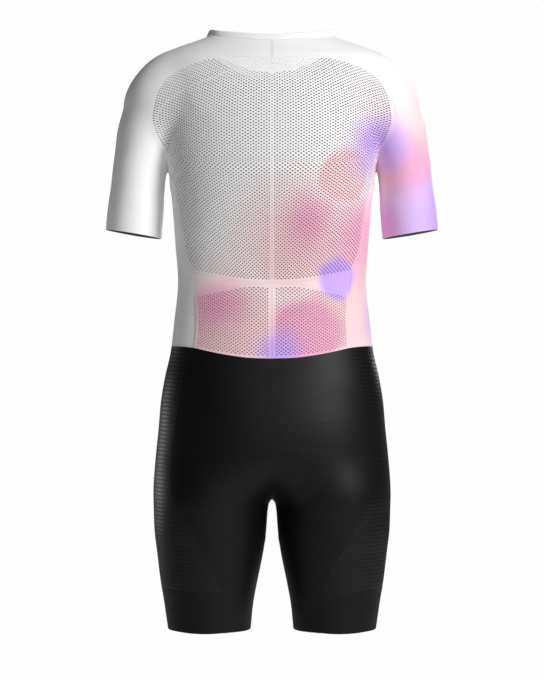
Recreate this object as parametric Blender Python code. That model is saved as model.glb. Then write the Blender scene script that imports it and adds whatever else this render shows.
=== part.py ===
"""Short-sleeved triathlon suit, filled out as it is when worn, with nobody in it.

Metres, +Z up. The front of the suit faces -Y and the wearer's left is +X. The origin is the middle of
the neck opening at the height where the suit hangs on the shoulders.

The cloth follows one smooth form, worked out from the section tables below. Seams are curves on that
form, and each panel is a grid between its seams, given the cloth's thickness.
"""

import bmesh
import bpy
import numpy as np
from mathutils import Matrix, Vector

# ---------------------------------------------------------------- driving sizes
CLOTH = 0.0012  # wall of every cloth panel
SEAM_GAP = 0.0003  # between two panels at their seam
SHOULDER_BLEND = 0.030  # how softly a sleeve runs into the body above the underarm
UNDERARM_BLEND = 0.005  # and below it, where they are apart
UNDERARM_LEVEL = -0.178
SEAT_TOP, SEAT_BOTTOM = -0.655, -0.742  # the body turns into two legs between these levels

NECK_BACK, NECK_FRONT = -0.010, -0.051  # neckline at the centre back and centre front
YOKE = -0.042  # top of the mesh back
MESH_BOTTOM = -0.391
POCKET_TOP = -0.3955
POCKET_GAP = 0.0003  # between a pocket and the panel that it lies on
WAIST_BACK, WAIST_FRONT = -0.509, -0.490
SEAT_SEAM = -0.608
LEG_BAND, HEM = -0.874, -0.940
CUFF_OUTER, CUFF_INNER = -0.303, -0.318
NECK_OPENING = (0.104, 0.070, 1.0)  # its half sizes, seen from above
COLLAR_HEIGHT = 0.0095
COLLAR_LEAN = 0.0030  # the collar's top edge is this much nearer the neck

FRONT_EDGE = 0.0056  # the front panels stop this far from the middle of the zip
HALF_CHAIN = 0.0026
CHAIN_DEPTH, CHAIN_THICKNESS = 0.0004, 0.0022  # depths are measured inwards from the form
TAPE_INNER, TAPE_OUTER = 0.0030, 0.0135
TAPE_DEPTH, TAPE_THICKNESS = CLOTH + 0.0005, 0.0010
TAPE_TOP, TAPE_TAIL = -0.0425, 0.008  # the tape's tail is sewn in behind the waist seam
SLIDER_LEVEL = -0.0500
SLIDER_WIDTH, SLIDER_LENGTH = 0.0084, 0.0115
SLIDER_TOP_PLATE = (-0.0006, 0.0012)  # each piece of the slider lies between two depths
SLIDER_BRIDGE = (0.0010, 0.0033)
SLIDER_BACK_PLATE = (0.0031, 0.0042)
BRIDGE_WIDTH, BRIDGE_LENGTH = 0.0046, 0.0105
CROWN_WIDTH, CROWN_LENGTH, CROWN_HEIGHT, CROWN_WALL = 0.0016, 0.0068, 0.0034, 0.0010
CROWN_FOOT = 0.0005  # how deep the crown's feet sink into the top plate
PULL_HEIGHT = 0.0010  # the pull's hinge axis is this far above the top plate
PULL_WIDTH, PULL_LENGTH, PULL_THICKNESS = 0.0054, 0.026, 0.0011
PULL_WINDOW = (0.0028, 0.0048)
STOP_LENGTH = 0.0030

WELD = 5e-6  # points nearer than this are one
SMOOTHING_ROUNDS, SMOOTHING = 120, 0.6
SHARPEST_CORNER = 2.5  # a panel's corner moves in by at most this many half gaps
SHARP_EDGE = np.radians(50)
SPLIT_DIRECTION = Vector((0.3, 0.2, 1.0))
MODEL_NAME = "triathlon_suit"


def table(names, rows):
    """A section table: its levels from the lowest up, its other columns, and their slopes at each level."""
    values = np.array(sorted(rows), float)
    level, columns = values[:, 0], values[:, 1:].T
    chord = np.diff(columns) / np.diff(level)
    slopes = np.concatenate([chord[:, :1], (chord[:, :-1] + chord[:, 1:]) / 2, chord[:, -1:]], axis=1)
    return {"names": names.split()[1:], "level": level, "columns": columns, "slopes": slopes}


BODY = table(
    "level width back front squareness",
    [
        (0.020, 0.082, 0.044, 0.048, 2.0),
        (0.004, 0.104, 0.052, 0.055, 2.0),
        (-0.004, 0.124, 0.058, 0.060, 2.0),
        (-0.013, 0.150, 0.065, 0.065, 2.0),
        (-0.022, 0.172, 0.072, 0.070, 2.0),
        (-0.032, 0.184, 0.080, 0.075, 2.1),
        (-0.045, 0.189, 0.088, 0.081, 2.1),
        (-0.070, 0.188, 0.101, 0.092, 2.2),
        (-0.110, 0.184, 0.112, 0.108, 2.3),
        (-0.160, 0.176, 0.118, 0.121, 2.3),
        (-0.210, 0.1655, 0.118, 0.127, 2.3),
        (-0.265, 0.159, 0.112, 0.125, 2.3),
        (-0.330, 0.154, 0.101, 0.117, 2.3),
        (-0.390, 0.150, 0.094, 0.111, 2.3),
        (-0.450, 0.156, 0.096, 0.109, 2.3),
        (-0.500, 0.162, 0.105, 0.109, 2.3),
        (-0.540, 0.171, 0.114, 0.109, 2.3),
        (-0.575, 0.177, 0.121, 0.109, 2.2),
        (-0.620, 0.181, 0.126, 0.108, 2.2),
        (-0.670, 0.186, 0.125, 0.106, 2.2),
        (-0.710, 0.189, 0.119, 0.104, 2.2),
    ],
)
LEG = table(
    "level centre width back front",
    [
        (-0.640, 0.0925, 0.0915, 0.124, 0.107),
        (-0.690, 0.0940, 0.0940, 0.120, 0.105),
        (-0.725, 0.0955, 0.0940, 0.113, 0.102),
        (-0.745, 0.0975, 0.0915, 0.108, 0.099),
        (-0.785, 0.0985, 0.0890, 0.098, 0.094),
        (-0.820, 0.0988, 0.0845, 0.089, 0.088),
        (-0.860, 0.1005, 0.0780, 0.080, 0.082),
        (-0.900, 0.1010, 0.0710, 0.071, 0.076),
        (-0.945, 0.1000, 0.0655, 0.064, 0.070),
    ],
)
ARM = table(
    "level centre width depth forward",
    [
        (-0.110, 0.1730, 0.0640, 0.064, 0.000),
        (-0.145, 0.1890, 0.0575, 0.062, 0.001),
        (-0.180, 0.2030, 0.0480, 0.058, 0.003),
        (-0.210, 0.2115, 0.0435, 0.055, 0.006),
        (-0.235, 0.2150, 0.0430, 0.053, 0.009),
        (-0.270, 0.2185, 0.0450, 0.052, 0.013),
        (-0.330, 0.2240, 0.0450, 0.050, 0.020),
    ],
)
ARM_DOME = 0.066  # height of the rounded top of the arm above its first section

# Pieces along each seam. Two panels that meet share a seam's points, so its count is stated once.
COUNTS = {
    "mesh_bottom": 6, "pocket_top": 6, "waist_back": 6, "yoke_seam": 6, "raglan_back_upper": 6,
    "side_back_upper": 7, "raglan_back_lower": 6, "lower_side": 1, "pocket_side": 3,
    "armhole_back": 3, "armhole_front": 3, "waist_side": 6, "side_front": 11,
    "raglan_front_lower": 8, "raglan_front_upper": 4, "front_edge": 19,
    "waist_front": 6, "waist_centre": 1, "neck_front": 2,
    "underarm": 6, "over_arm_lower": 6, "over_arm_upper": 15,
    "cuff_back": 6, "cuff_front": 5, "centre_neck": 2, "neck_back": 4, "neck_side": 5,
    "centre_hip": 3, "side_back_hip": 3, "seat_seam": 6, "inseam": 6,
    "side_back_thigh": 10, "band_back": 2, "side_front_hip": 13, "band_front": 2,
    "band_seam": 6, "hem_back": 6, "hem_side": 6, "hem_front": 7, "front_seam": 9,
}


# ---------------------------------------------------------------- the form that the cloth follows
def section(sections, level):
    """All columns of a section table at any level, as smooth curves through its rows."""
    x = sections["level"]
    at = np.clip(level, x[0], x[-1])
    i = np.clip(np.searchsorted(x, at) - 1, 0, len(x) - 2)
    step = x[i + 1] - x[i]
    t = (at - x[i]) / step
    y, m = sections["columns"], sections["slopes"]
    return (
        y[:, i] * (1 + 2 * t) * (1 - t) ** 2
        + y[:, i + 1] * t**2 * (3 - 2 * t)
        + step * t * (1 - t) * (m[:, i] * (1 - t) - m[:, i + 1] * t)
    )


def size(sections, name, level):
    """One column of a section table at one level."""
    return float(section(sections, level)[sections["names"].index(name)])


def ramp(value, low, high):
    """0 below low, 1 above high and smooth between."""
    t = np.clip((value - low) / (high - low), 0.0, 1.0)
    return t * t * (3 - 2 * t)


def soft_union(a, b, reach):
    """The nearer of two distances, rounded off where they are within reach of each other."""
    h = np.maximum(reach - np.abs(a - b), 0.0) / reach
    return np.minimum(a, b) - h * h * reach / 4


def body_distance(x, y, z):
    width, back_depth, front_depth, power = section(BODY, z)
    depth = np.where(y > 0, back_depth, front_depth)
    rho = ((np.abs(x) / width) ** power + (np.abs(y) / depth) ** power) ** (1 / power)
    return (rho - 1) * np.minimum(width, depth)


def leg_distance(x, y, z):
    """Both legs, one each side of the middle."""
    centre, width, back_depth, front_depth = section(LEG, z)
    depth = np.where(y > 0, back_depth, front_depth)
    return (np.hypot((np.abs(x) - centre) / width, y / depth) - 1) * np.minimum(width, depth)


def arm_distance(x, y, z):
    """Both arms, one each side. They end below the cuffs."""
    centre, width, depth, forward = section(ARM, z)
    above = np.maximum(z - ARM["level"][-1], 0.0) / ARM_DOME
    below = np.maximum(ARM["level"][0] - z, 0.0)
    rho = np.sqrt(((np.abs(x) - centre) / width) ** 2 + ((y + forward) / depth) ** 2 + above**2)
    return (rho - 1) * np.minimum(width, depth) + below


def trunk_form(points):
    """About how far each point is outside the body and the legs."""
    x, y, z = np.moveaxis(np.asarray(points, float), -1, 0)
    legs = ramp(-z, -SEAT_TOP, -SEAT_BOTTOM)
    return (1 - legs) * body_distance(x, y, z) + legs * leg_distance(x, y, z)


def form(points):
    """About how far each point is outside the form. The cloth's outer face is where this is 0."""
    x, y, z = np.moveaxis(np.asarray(points, float), -1, 0)
    above = ramp(z, UNDERARM_LEVEL - 0.012, UNDERARM_LEVEL + 0.050)
    reach = UNDERARM_BLEND + (SHOULDER_BLEND - UNDERARM_BLEND) * above
    return soft_union(trunk_form(points), arm_distance(x, y, z), reach)


def slope(points, surface=form):
    """The gradient of the distance from the surface."""
    step = 1e-4
    parts = [
        (surface(points + step * axis) - surface(points - step * axis)) / (2 * step) for axis in np.eye(3)
    ]
    return np.stack(parts, axis=-1)


def outward(points):
    """Unit normals of the form."""
    g = slope(points)
    return g / np.linalg.norm(g, axis=-1, keepdims=True)


def onto_form(points, rounds=8, surface=form):
    """The points moved onto the surface, straight along its gradient."""
    points = np.array(points, float)
    for _ in range(rounds):
        g = slope(points, surface)
        step = surface(points)[..., None] * g / np.maximum((g * g).sum(-1, keepdims=True), 1e-6)
        far = np.maximum(np.linalg.norm(step, axis=-1, keepdims=True), 1e-12)
        points -= step * np.minimum(1.0, 0.02 / far)
    return points


def cast(start, towards):
    """Where a line from a point inside the form first leaves it."""
    start, towards = np.array(start, float), np.array(towards, float)
    towards /= np.linalg.norm(towards)
    low, high = 0.0, 0.4
    for _ in range(4):
        reach = np.linspace(low, high, 101)
        first = max((form(start + reach[:, None] * towards) > 0).argmax(), 1)
        low, high = reach[first - 1], reach[first]
    return start + high * towards


def back(x, z):
    return cast((x, 0, z), (0, 1, 0))


def front(x, z):
    return cast((x, 0, z), (0, -1, 0))


def side(y, z):
    return cast((0.1, y, z), (1, 0, 0))


def arm_point(angle, z):
    """A point round the left arm: 0 degrees on its outer side, 90 on its back."""
    a = np.radians(angle)
    centre, forward = size(ARM, "centre", z), size(ARM, "forward", z)
    tilt = (CUFF_OUTER - CUFF_INNER) / (2 * size(ARM, "width", z))
    return cast((centre, -forward, z), (np.cos(a), np.sin(a), tilt * np.cos(a)))


def leg_point(angle, z):
    """A point round the left leg: 0 degrees on its outer side, 90 on its back."""
    a = np.radians(angle)
    return cast((size(LEG, "centre", z), 0, z), (np.cos(a), np.sin(a), 0))


def seat_point(angle):
    """A point on the centre line under the body: 0 degrees at the back, 90 straight down."""
    a = np.radians(angle)
    return cast((0, 0, SEAT_TOP + 0.010), (0, np.cos(a), -np.sin(a)))


# ---------------------------------------------------------------- seams
def curve(points, count):
    """A smooth line through the points, on the form, cut into count equal pieces."""
    points = np.array(points, float)
    ends = points[0].copy(), points[-1].copy()
    if len(points) > 2:
        points = smooth_line(points)
    for _ in range(2):
        dense = at_equal_steps(points, 120)
        dense[1:-1] = onto_form(dense[1:-1])
        points = dense
    line = at_equal_steps(points, count)
    line[1:-1] = onto_form(line[1:-1])
    line[0], line[-1] = ends
    return line


def smooth_line(points):
    """Catmull-Rom through the points."""
    knots = np.concatenate([[2 * points[0] - points[1]], points, [2 * points[-1] - points[-2]]])
    t = np.linspace(0, 1, 16, endpoint=False)[:, None]
    pieces = []
    for a, b, c, d in zip(knots[:-3], knots[1:-2], knots[2:-1], knots[3:]):
        pieces.append(
            b + 0.5 * t * (c - a + t * (2 * a - 5 * b + 4 * c - d + t * (3 * (b - c) + d - a)))
        )
    return np.concatenate([*pieces, points[-1:]])


def at_equal_steps(line, count):
    far = np.concatenate([[0], np.cumsum(np.linalg.norm(np.diff(line, axis=0), axis=1))])
    at = np.linspace(0, far[-1], count + 1)
    return np.stack([np.interp(at, far, line[:, k]) for k in range(3)], axis=1)


def corners():
    """The points where seams meet, on the left half."""
    cuff_middle = (CUFF_OUTER + CUFF_INNER) / 2
    return {
        "neck_centre_back": back(0, NECK_BACK),
        "yoke_centre": back(0, YOKE),
        "mesh_centre": back(0, MESH_BOTTOM),
        "waist_centre_back": back(0, WAIST_BACK),
        "seat_centre": back(0, SEAT_SEAM),
        "crotch": seat_point(90),
        "waist_centre_front": front(0, WAIST_FRONT),
        "zip_waist": front(FRONT_EDGE, WAIST_FRONT),
        "zip_neck": front(FRONT_EDGE, NECK_FRONT),
        "neck_raglan": front(0.066, -0.0375),
        "neck_shoulder": cast((0.104, 0, -0.040), (0, 0, 1)),
        "yoke_turn": back(0.164, -0.0665),
        "chest_turn": front(0.152, -0.075),
        "underarm_back": back(0.175, -0.180),
        "underarm": cast((0.1655, 0, -0.150), (0, 0, -1)),
        "underarm_front": front(0.176, -0.178),
        "mesh_side": back(0.125, -0.3726),
        "pocket_centre": back(0, POCKET_TOP),
        "pocket_side": back(0.1205, -0.411),
        "waist_back": back(0.121, -0.4925),
        "waist_front": front(0.125, WAIST_FRONT),
        "seat_side": back(0.1495, -0.611),
        "band_back": back(0.0785, LEG_BAND),
        "band_front": front(0.080, LEG_BAND),
        "hem_back": back(0.0785, HEM),
        "hem_front": front(0.080, HEM),
        "hem_inner": leg_point(180, HEM),
        "cuff_under": arm_point(180, cuff_middle),
        "cuff_over": arm_point(0, cuff_middle),
        "over_turn": arm_point(0, -0.168),
    }


def seams():
    """Every seam of the left half as {name: its points}, from the first corner named to the last."""
    c = corners()
    cuff_middle = (CUFF_OUTER + CUFF_INNER) / 2
    routes = {
        "raglan_back_upper": ["yoke_turn", back(0.139, -0.051), back(0.097, -0.0378),
                              back(0.066, -0.0371), back(0.030, -0.0395), "yoke_centre"],
        "raglan_back_lower": ["underarm_back", back(0.186, -0.162), back(0.1945, -0.137),
                              back(0.192, -0.116), back(0.182, -0.0873), "yoke_turn"],
        "armhole_back": ["underarm", "underarm_back"],
        "armhole_front": ["underarm", "underarm_front"],
        "raglan_front_lower": ["underarm_front", front(0.188, -0.155), front(0.190, -0.125),
                               front(0.176, -0.095), "chest_turn"],
        "raglan_front_upper": ["chest_turn", front(0.121, -0.060), front(0.090, -0.048), "neck_raglan"],
        "neck_back": ["neck_centre_back", back(0.026, -0.0085), back(0.060, -0.0048),
                      back(0.088, -0.0005), "neck_shoulder"],
        "neck_side": ["neck_shoulder", front(0.100, -0.009), front(0.086, -0.023), "neck_raglan"],
        "neck_front": ["neck_raglan", front(0.036, -0.0475), "zip_neck"],
        "centre_neck": ["yoke_centre", back(0, (YOKE + NECK_BACK) / 2), "neck_centre_back"],
        "side_back_upper": ["underarm_back", back(0.160, -0.2214), back(0.149, -0.2745),
                            back(0.140, -0.3348), "mesh_side"],
        "lower_side": ["mesh_side", "pocket_side"],
        "pocket_side": ["pocket_side", back(0.1185, -0.449), "waist_back"],
        "side_front": ["underarm_front", front(0.160, -0.225), front(0.149, -0.280),
                       front(0.140, -0.340), front(0.130, -0.410), "waist_front"],
        "mesh_bottom": ["mesh_centre", back(0.040, -0.3890), back(0.083, -0.3820), "mesh_side"],
        "pocket_top": ["pocket_centre", back(0.035, -0.3930), back(0.083, -0.4020), "pocket_side"],
        "waist_back": ["waist_centre_back", back(0.041, -0.5072), back(0.085, -0.5005), "waist_back"],
        "waist_side": ["waist_back", side(0, WAIST_FRONT), "waist_front"],
        "waist_front": ["waist_front", front(0.075, WAIST_FRONT), "zip_waist"],
        "waist_centre": ["zip_waist", "waist_centre_front"],
        "front_edge": ["zip_neck"] + [front(FRONT_EDGE, z) for z in (-0.11, -0.2, -0.3, -0.4)]
                      + ["zip_waist"],
        "yoke_seam": ["seat_centre", back(0.040, -0.6105), back(0.100, -0.6060), "seat_side"],
        "centre_hip": ["waist_centre_back", back(0, -0.558), "seat_centre"],
        "side_back_hip": ["waist_back", back(0.1345, -0.525), back(0.1455, -0.580), "seat_side"],
        "side_back_thigh": ["seat_side", back(0.1547, -0.639), back(0.1580, -0.690), back(0.1545, -0.722),
                            back(0.1423, -0.7474), back(0.1112, -0.8018), back(0.0910, -0.8407),
                            "band_back"],
        "side_front_hip": ["waist_front", front(0.139, -0.550), front(0.147, -0.620), front(0.146, -0.690),
                           front(0.134, -0.750), front(0.108, -0.815), "band_front"],
        "band_seam": ["band_back", leg_point(45, LEG_BAND), leg_point(0, LEG_BAND),
                      leg_point(-45, LEG_BAND), "band_front"],
        "band_back": ["band_back", "hem_back"],
        "band_front": ["band_front", "hem_front"],
        "hem_back": ["hem_inner", leg_point(135, HEM), "hem_back"],
        "hem_side": ["hem_back", leg_point(45, HEM), leg_point(0, HEM), leg_point(-45, HEM), "hem_front"],
        "hem_front": ["hem_front", leg_point(-135, HEM), "hem_inner"],
        "seat_seam": ["seat_centre", back(0, -0.645), seat_point(25), seat_point(50), seat_point(70),
                      "crotch"],
        "front_seam": ["waist_centre_front", front(0, -0.560), front(0, -0.620), seat_point(155),
                       seat_point(130), seat_point(110), "crotch"],
        "inseam": ["crotch", *(leg_point(180, z) for z in (-0.765, -0.800, -0.850, -0.900)), "hem_inner"],
        "underarm": ["cuff_under", arm_point(180, -0.270), arm_point(180, -0.225), "underarm"],
        "over_arm_lower": ["cuff_over", arm_point(0, -0.240), "over_turn"],
        "over_arm_upper": ["over_turn", arm_point(0, -0.130), cast((0.160, 0, -0.110), (1, 0, 0.9)),
                           cast((0.160, 0, -0.110), (0.25, 0, 1)), cast((0.130, 0, -0.060), (0, 0, 1)),
                           "neck_shoulder"],
        "cuff_back": ["cuff_under", arm_point(135, cuff_middle), arm_point(90, cuff_middle),
                      arm_point(45, cuff_middle), "cuff_over"],
        "cuff_front": ["cuff_under", arm_point(-135, cuff_middle), arm_point(-90, cuff_middle),
                       arm_point(-45, cuff_middle), "cuff_over"],
    }
    return {
        name: curve([c[p] if isinstance(p, str) else p for p in route], COUNTS[name])
        for name, route in routes.items()
    }


def chain(*lines):
    """Lines end to end, as one line."""
    return np.concatenate([lines[0]] + [line[1:] for line in lines[1:]])


def mirrored(line):
    return line * (-1, 1, 1)


# ---------------------------------------------------------------- panels
def patch(start, end, first, last, surface=form):
    """A grid of points between four seams, on the surface. start and end run the same way, as do first,
    which joins their first points, and last, which joins their last points."""
    u = np.linspace(0, 1, len(start))[None, :, None]
    v = np.linspace(0, 1, len(first))[:, None, None]
    grid = (
        (1 - v) * start[None] + v * end[None] + (1 - u) * first[:, None] + u * last[:, None]
        - (1 - v) * ((1 - u) * start[0] + u * start[-1])
        - v * ((1 - u) * end[0] + u * end[-1])
    )
    inside = grid[1:-1, 1:-1]
    for _ in range(SMOOTHING_ROUNDS):
        inside[:] = onto_form(inside, 1, surface)
        middle = (grid[2:, 1:-1] + grid[:-2, 1:-1] + grid[1:-1, 2:] + grid[1:-1, :-2]) / 4
        inside += SMOOTHING * (middle - inside)
    inside[:] = onto_form(inside, surface=surface)
    return grid


def add_grid(bm, points):
    """A grid primitive whose points are moved to the given ones."""
    rows, columns = points.shape[0] - 1, points.shape[1] - 1
    made = bmesh.ops.create_grid(bm, x_segments=columns, y_segments=rows, size=1)
    for vertex in made["verts"]:
        column = round((vertex.co.x + 1) / 2 * columns)
        row = round((vertex.co.y + 1) / 2 * rows)
        vertex.co = points[row, column]


def open_seams(bm, gap):
    """Moves the edge of a sheet in by half the gap, along the cloth."""
    bm.normal_update()
    moves = {}
    for vertex in bm.verts:
        edges = [edge for edge in vertex.link_edges if edge.is_boundary]
        if not edges:
            continue
        a, b = ((edge.other_vert(vertex).co - vertex.co).normalized() for edge in edges)
        along = (a - b).normalized()
        pull = sum((face.calc_center_median() - vertex.co for face in vertex.link_faces), Vector())
        pull -= pull.dot(along) * along
        pull -= pull.dot(vertex.normal) * vertex.normal
        corner = max(a.cross(along).length, 1 / SHARPEST_CORNER)  # 1 on a straight edge
        moves[vertex] = pull.normalized() * gap / 2 / (corner if a.dot(b) > -0.9 else 1.0)
    for vertex, move in moves.items():
        vertex.co += move


def add_wall(bm, normals, depth, thickness):
    """Gives a sheet its wall. The outer face comes to lie at the depth, inwards along the normals."""
    normal_at = {vertex.co.to_tuple(): Vector(normal) for vertex, normal in zip(bm.verts, normals)}
    extruded = bmesh.ops.extrude_face_region(bm, geom=bm.faces[:])["geom"]
    inner = {element for element in extruded if isinstance(element, bmesh.types.BMVert)}
    for vertex in bm.verts:
        inwards = depth + thickness if vertex in inner else depth
        vertex.co -= inwards * normal_at[vertex.co.to_tuple()]
    split_alike(bm, inner)
    bmesh.ops.recalc_face_normals(bm, faces=bm.faces[:])


def along_split(vertex):
    """How far a vertex is along the way that decides how its quads are cut, the same on both sides."""
    return Vector((abs(vertex.co.x), vertex.co.y, vertex.co.z)).dot(SPLIT_DIRECTION)


def split_alike(bm, inner):
    """Cuts every quad in two, so that the pieces on both sides of a seam, and on both sides of the suit,
    bend along the same lines."""
    for face in list(bm.faces):
        corners_ = list(face.verts)
        outer = [vertex for vertex in corners_ if vertex not in inner] or corners_
        low = min(outer, key=along_split)
        opposite = corners_[(corners_.index(low) + 2) % 4]
        bmesh.utils.face_split(face, low, opposite)


def new_object(name, mesh, material, collection):
    mesh.materials.append(material)
    mesh.shade_smooth()
    mesh.set_sharp_from_angle(angle=SHARP_EDGE)
    obj = bpy.data.objects.new(name, mesh)
    collection.objects.link(obj)
    return obj


def sheet_object(
    name, grids, material, collection, depth=0.0, thickness=CLOTH, upright=False, gap=SEAM_GAP
):
    """A piece of cloth from the grids that it is made of. An upright one stands off the form."""
    bm = bmesh.new()
    for grid in grids:
        add_grid(bm, grid)
    bmesh.ops.remove_doubles(bm, verts=bm.verts[:], dist=WELD)
    bmesh.ops.recalc_face_normals(bm, faces=bm.faces[:])
    points = np.array([vertex.co for vertex in bm.verts])
    normals = away_from_neck(points) if upright else outward(points)
    open_seams(bm, gap)
    add_wall(bm, normals, depth, thickness)
    mesh = bpy.data.meshes.new(name)
    bm.to_mesh(mesh)
    bm.free()
    return new_object(name, mesh, material, collection)


# ---------------------------------------------------------------- the pieces
def whole(left_half):
    """A line from its mirror image on the right to the left, from one that starts at the middle."""
    return chain(mirrored(left_half)[::-1], left_half)


def torso_panels(s):
    side_back = chain(s["pocket_side"][::-1], s["lower_side"][::-1], s["side_back_upper"][::-1])
    mesh_edge = chain(s["side_back_upper"][::-1], s["raglan_back_lower"])
    armhole = chain(s["armhole_back"][::-1], s["armhole_front"])
    pocket_edge = s["pocket_side"][::-1]
    pocket_top = whole(s["pocket_top"])
    under_pockets = patch(whole(s["waist_back"]), pocket_top, mirrored(pocket_edge), pocket_edge)
    strip_edge = s["lower_side"][::-1]
    above_pockets = patch(pocket_top, whole(s["mesh_bottom"]), mirrored(strip_edge), strip_edge)
    middle = under_pockets.shape[1] // 2
    return {
        "back_mesh": [patch(
            whole(s["mesh_bottom"]), whole(s["raglan_back_upper"][::-1]), mirrored(mesh_edge), mesh_edge
        )],
        "back_lower": [under_pockets, above_pockets],
        "pocket": [under_pockets[:, middle:]],
        "side": [patch(s["waist_side"], armhole, side_back, s["side_front"][::-1], trunk_form)],
        "front": [patch(
            s["waist_front"][::-1], chain(s["neck_front"][::-1], s["raglan_front_upper"][::-1]),
            s["front_edge"][::-1], chain(s["side_front"][::-1], s["raglan_front_lower"]),
        )],
    }


def sleeve_panels(s):
    """One piece, from the cuff up over the shoulder to the neck, with half of the back yoke."""
    over = chain(s["over_arm_lower"], s["over_arm_upper"])
    raglan_back = chain(s["armhole_back"], s["raglan_back_lower"], s["raglan_back_upper"])
    raglan_front = chain(s["armhole_front"], s["raglan_front_lower"], s["raglan_front_upper"])
    return {
        "sleeve": [
            patch(
                s["cuff_back"], chain(s["centre_neck"], s["neck_back"]),
                chain(s["underarm"], raglan_back), over,
            ),
            patch(s["cuff_front"], s["neck_side"][::-1], chain(s["underarm"], raglan_front), over),
        ]
    }


def shorts_panels(s):
    side_back = chain(s["side_back_thigh"][::-1], s["side_back_hip"][::-1])
    yoke_edge = s["side_back_hip"][::-1]
    return {
        "shorts_yoke": [
            patch(whole(s["yoke_seam"]), whole(s["waist_back"]), mirrored(yoke_edge), yoke_edge)
        ],
        "thigh_side": [patch(s["band_seam"], s["waist_side"], side_back, s["side_front_hip"][::-1])],
        "leg_back": [
            patch(
                s["hem_back"], s["yoke_seam"], chain(s["inseam"][::-1], s["seat_seam"][::-1]),
                chain(s["band_back"][::-1], s["side_back_thigh"][::-1]),
            ),
            patch(s["hem_side"], s["band_seam"], s["band_back"][::-1], s["band_front"][::-1]),
        ],
        "leg_front": [patch(
            s["hem_front"], chain(s["waist_front"], s["waist_centre"]),
            chain(s["band_front"][::-1], s["side_front_hip"][::-1]),
            chain(s["inseam"][::-1], s["front_seam"][::-1]),
        )],
    }


def away_from_neck(points):
    """Level unit vectors, square to the neck opening."""
    out = points / np.square(NECK_OPENING) * (1, 1, 0)
    return out / np.linalg.norm(out, axis=1, keepdims=True)


def collar_grid(s):
    """The collar stands on the neckline, from one side of the zip round the back to the other."""
    base = whole(chain(s["neck_back"], s["neck_side"], s["neck_front"]))
    out = away_from_neck(base)
    rise = np.linspace(0, 1, 3)[:, None, None]
    up = np.array((0, 0, 1)) * (SEAM_GAP + rise * COLLAR_HEIGHT)
    return base + up - out * (SEAM_GAP / 2 + rise**2 * COLLAR_LEAN)


def zip_strip(columns, levels):
    """A grid down the front at the given distances from the middle."""
    return np.array([[front(x, z) for x in columns] for z in levels])


def surface_frame(level):
    """A place on the centre front: X across, Y into the form and Z up along it."""
    point = front(0, level)
    normal = outward(point)
    return Matrix.Translation(point) @ Matrix.Rotation(np.arctan2(-normal[2], -normal[1]), 4, "X")


def weld(mesh):
    bm = bmesh.new()
    bm.from_mesh(mesh)
    bmesh.ops.remove_doubles(bm, verts=bm.verts[:], dist=WELD)
    bmesh.ops.recalc_face_normals(bm, faces=bm.faces[:])
    bm.to_mesh(mesh)
    bm.free()


def plate(name, outlines, thickness, turn=Matrix()):
    """A flat plate: its outer outline, and any holes, are extruded both ways."""
    curve_data = bpy.data.curves.new(name, "CURVE")
    curve_data.dimensions = "2D"
    curve_data.fill_mode = "BOTH"
    curve_data.extrude = thickness / 2
    for outline in outlines:
        spline = curve_data.splines.new("POLY")
        spline.points.add(len(outline) - 1)
        for point, (x, y) in zip(spline.points, outline):
            point.co = (x, y, 0, 1)
        spline.use_cyclic_u = True
    source = bpy.data.objects.new(name, curve_data)
    bpy.context.scene.collection.objects.link(source)
    mesh = bpy.data.meshes.new_from_object(source.evaluated_get(bpy.context.evaluated_depsgraph_get()))
    bpy.data.objects.remove(source)
    weld(mesh)
    mesh.transform(turn)
    return mesh


def rectangle(left, right, low, high):
    return [(left, low), (right, low), (right, high), (left, high)]


def join_solid(obj, other):
    """Joins another solid to the object for good."""
    bpy.context.view_layer.update()
    modifier = obj.modifiers.new("join", "BOOLEAN")
    modifier.operation = "UNION"
    modifier.object = other
    mesh = bpy.data.meshes.new_from_object(obj.evaluated_get(bpy.context.evaluated_depsgraph_get()))
    weld(mesh)
    obj.modifiers.clear()
    obj.data = mesh
    bpy.data.objects.remove(other)


def block(name, width, depths, length):
    """A box centred across and along the suit, between two depths."""
    outer, inner = depths
    bm = bmesh.new()
    place = Matrix.Translation((0, (outer + inner) / 2, 0))
    bmesh.ops.create_cube(bm, size=1, matrix=place @ Matrix.Diagonal((width, inner - outer, length, 1)))
    mesh = bpy.data.meshes.new(name)
    bm.to_mesh(mesh)
    bm.free()
    return mesh


def slider_body(material, collection):
    """Two plates with the tapes between them, the bridge that parts the tapes, and the crown for the pull."""
    plate_mesh = block("slider", SLIDER_WIDTH, SLIDER_TOP_PLATE, SLIDER_LENGTH)
    slider = new_object("zip_slider", plate_mesh, material, collection)
    foot = SLIDER_TOP_PLATE[0] + CROWN_FOOT
    top = SLIDER_TOP_PLATE[0] - CROWN_HEIGHT
    long, wall = CROWN_LENGTH / 2, CROWN_WALL
    arch = [
        (-long, foot), (-long, top), (long, top), (long, foot), (long - wall, foot),
        (long - wall, top + wall), (wall - long, top + wall), (wall - long, foot),
    ]
    added = [
        block("bridge", BRIDGE_WIDTH, SLIDER_BRIDGE, BRIDGE_LENGTH),
        block("back_plate", SLIDER_WIDTH, SLIDER_BACK_PLATE, SLIDER_LENGTH),
        plate("crown", [arch], CROWN_WIDTH, Matrix.Rotation(np.pi / 2, 4, "Y")),
    ]
    for mesh in added:
        join_solid(slider, new_object(mesh.name, mesh, material, collection))
    slider.matrix_world = surface_frame(SLIDER_LEVEL)
    return slider


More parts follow.
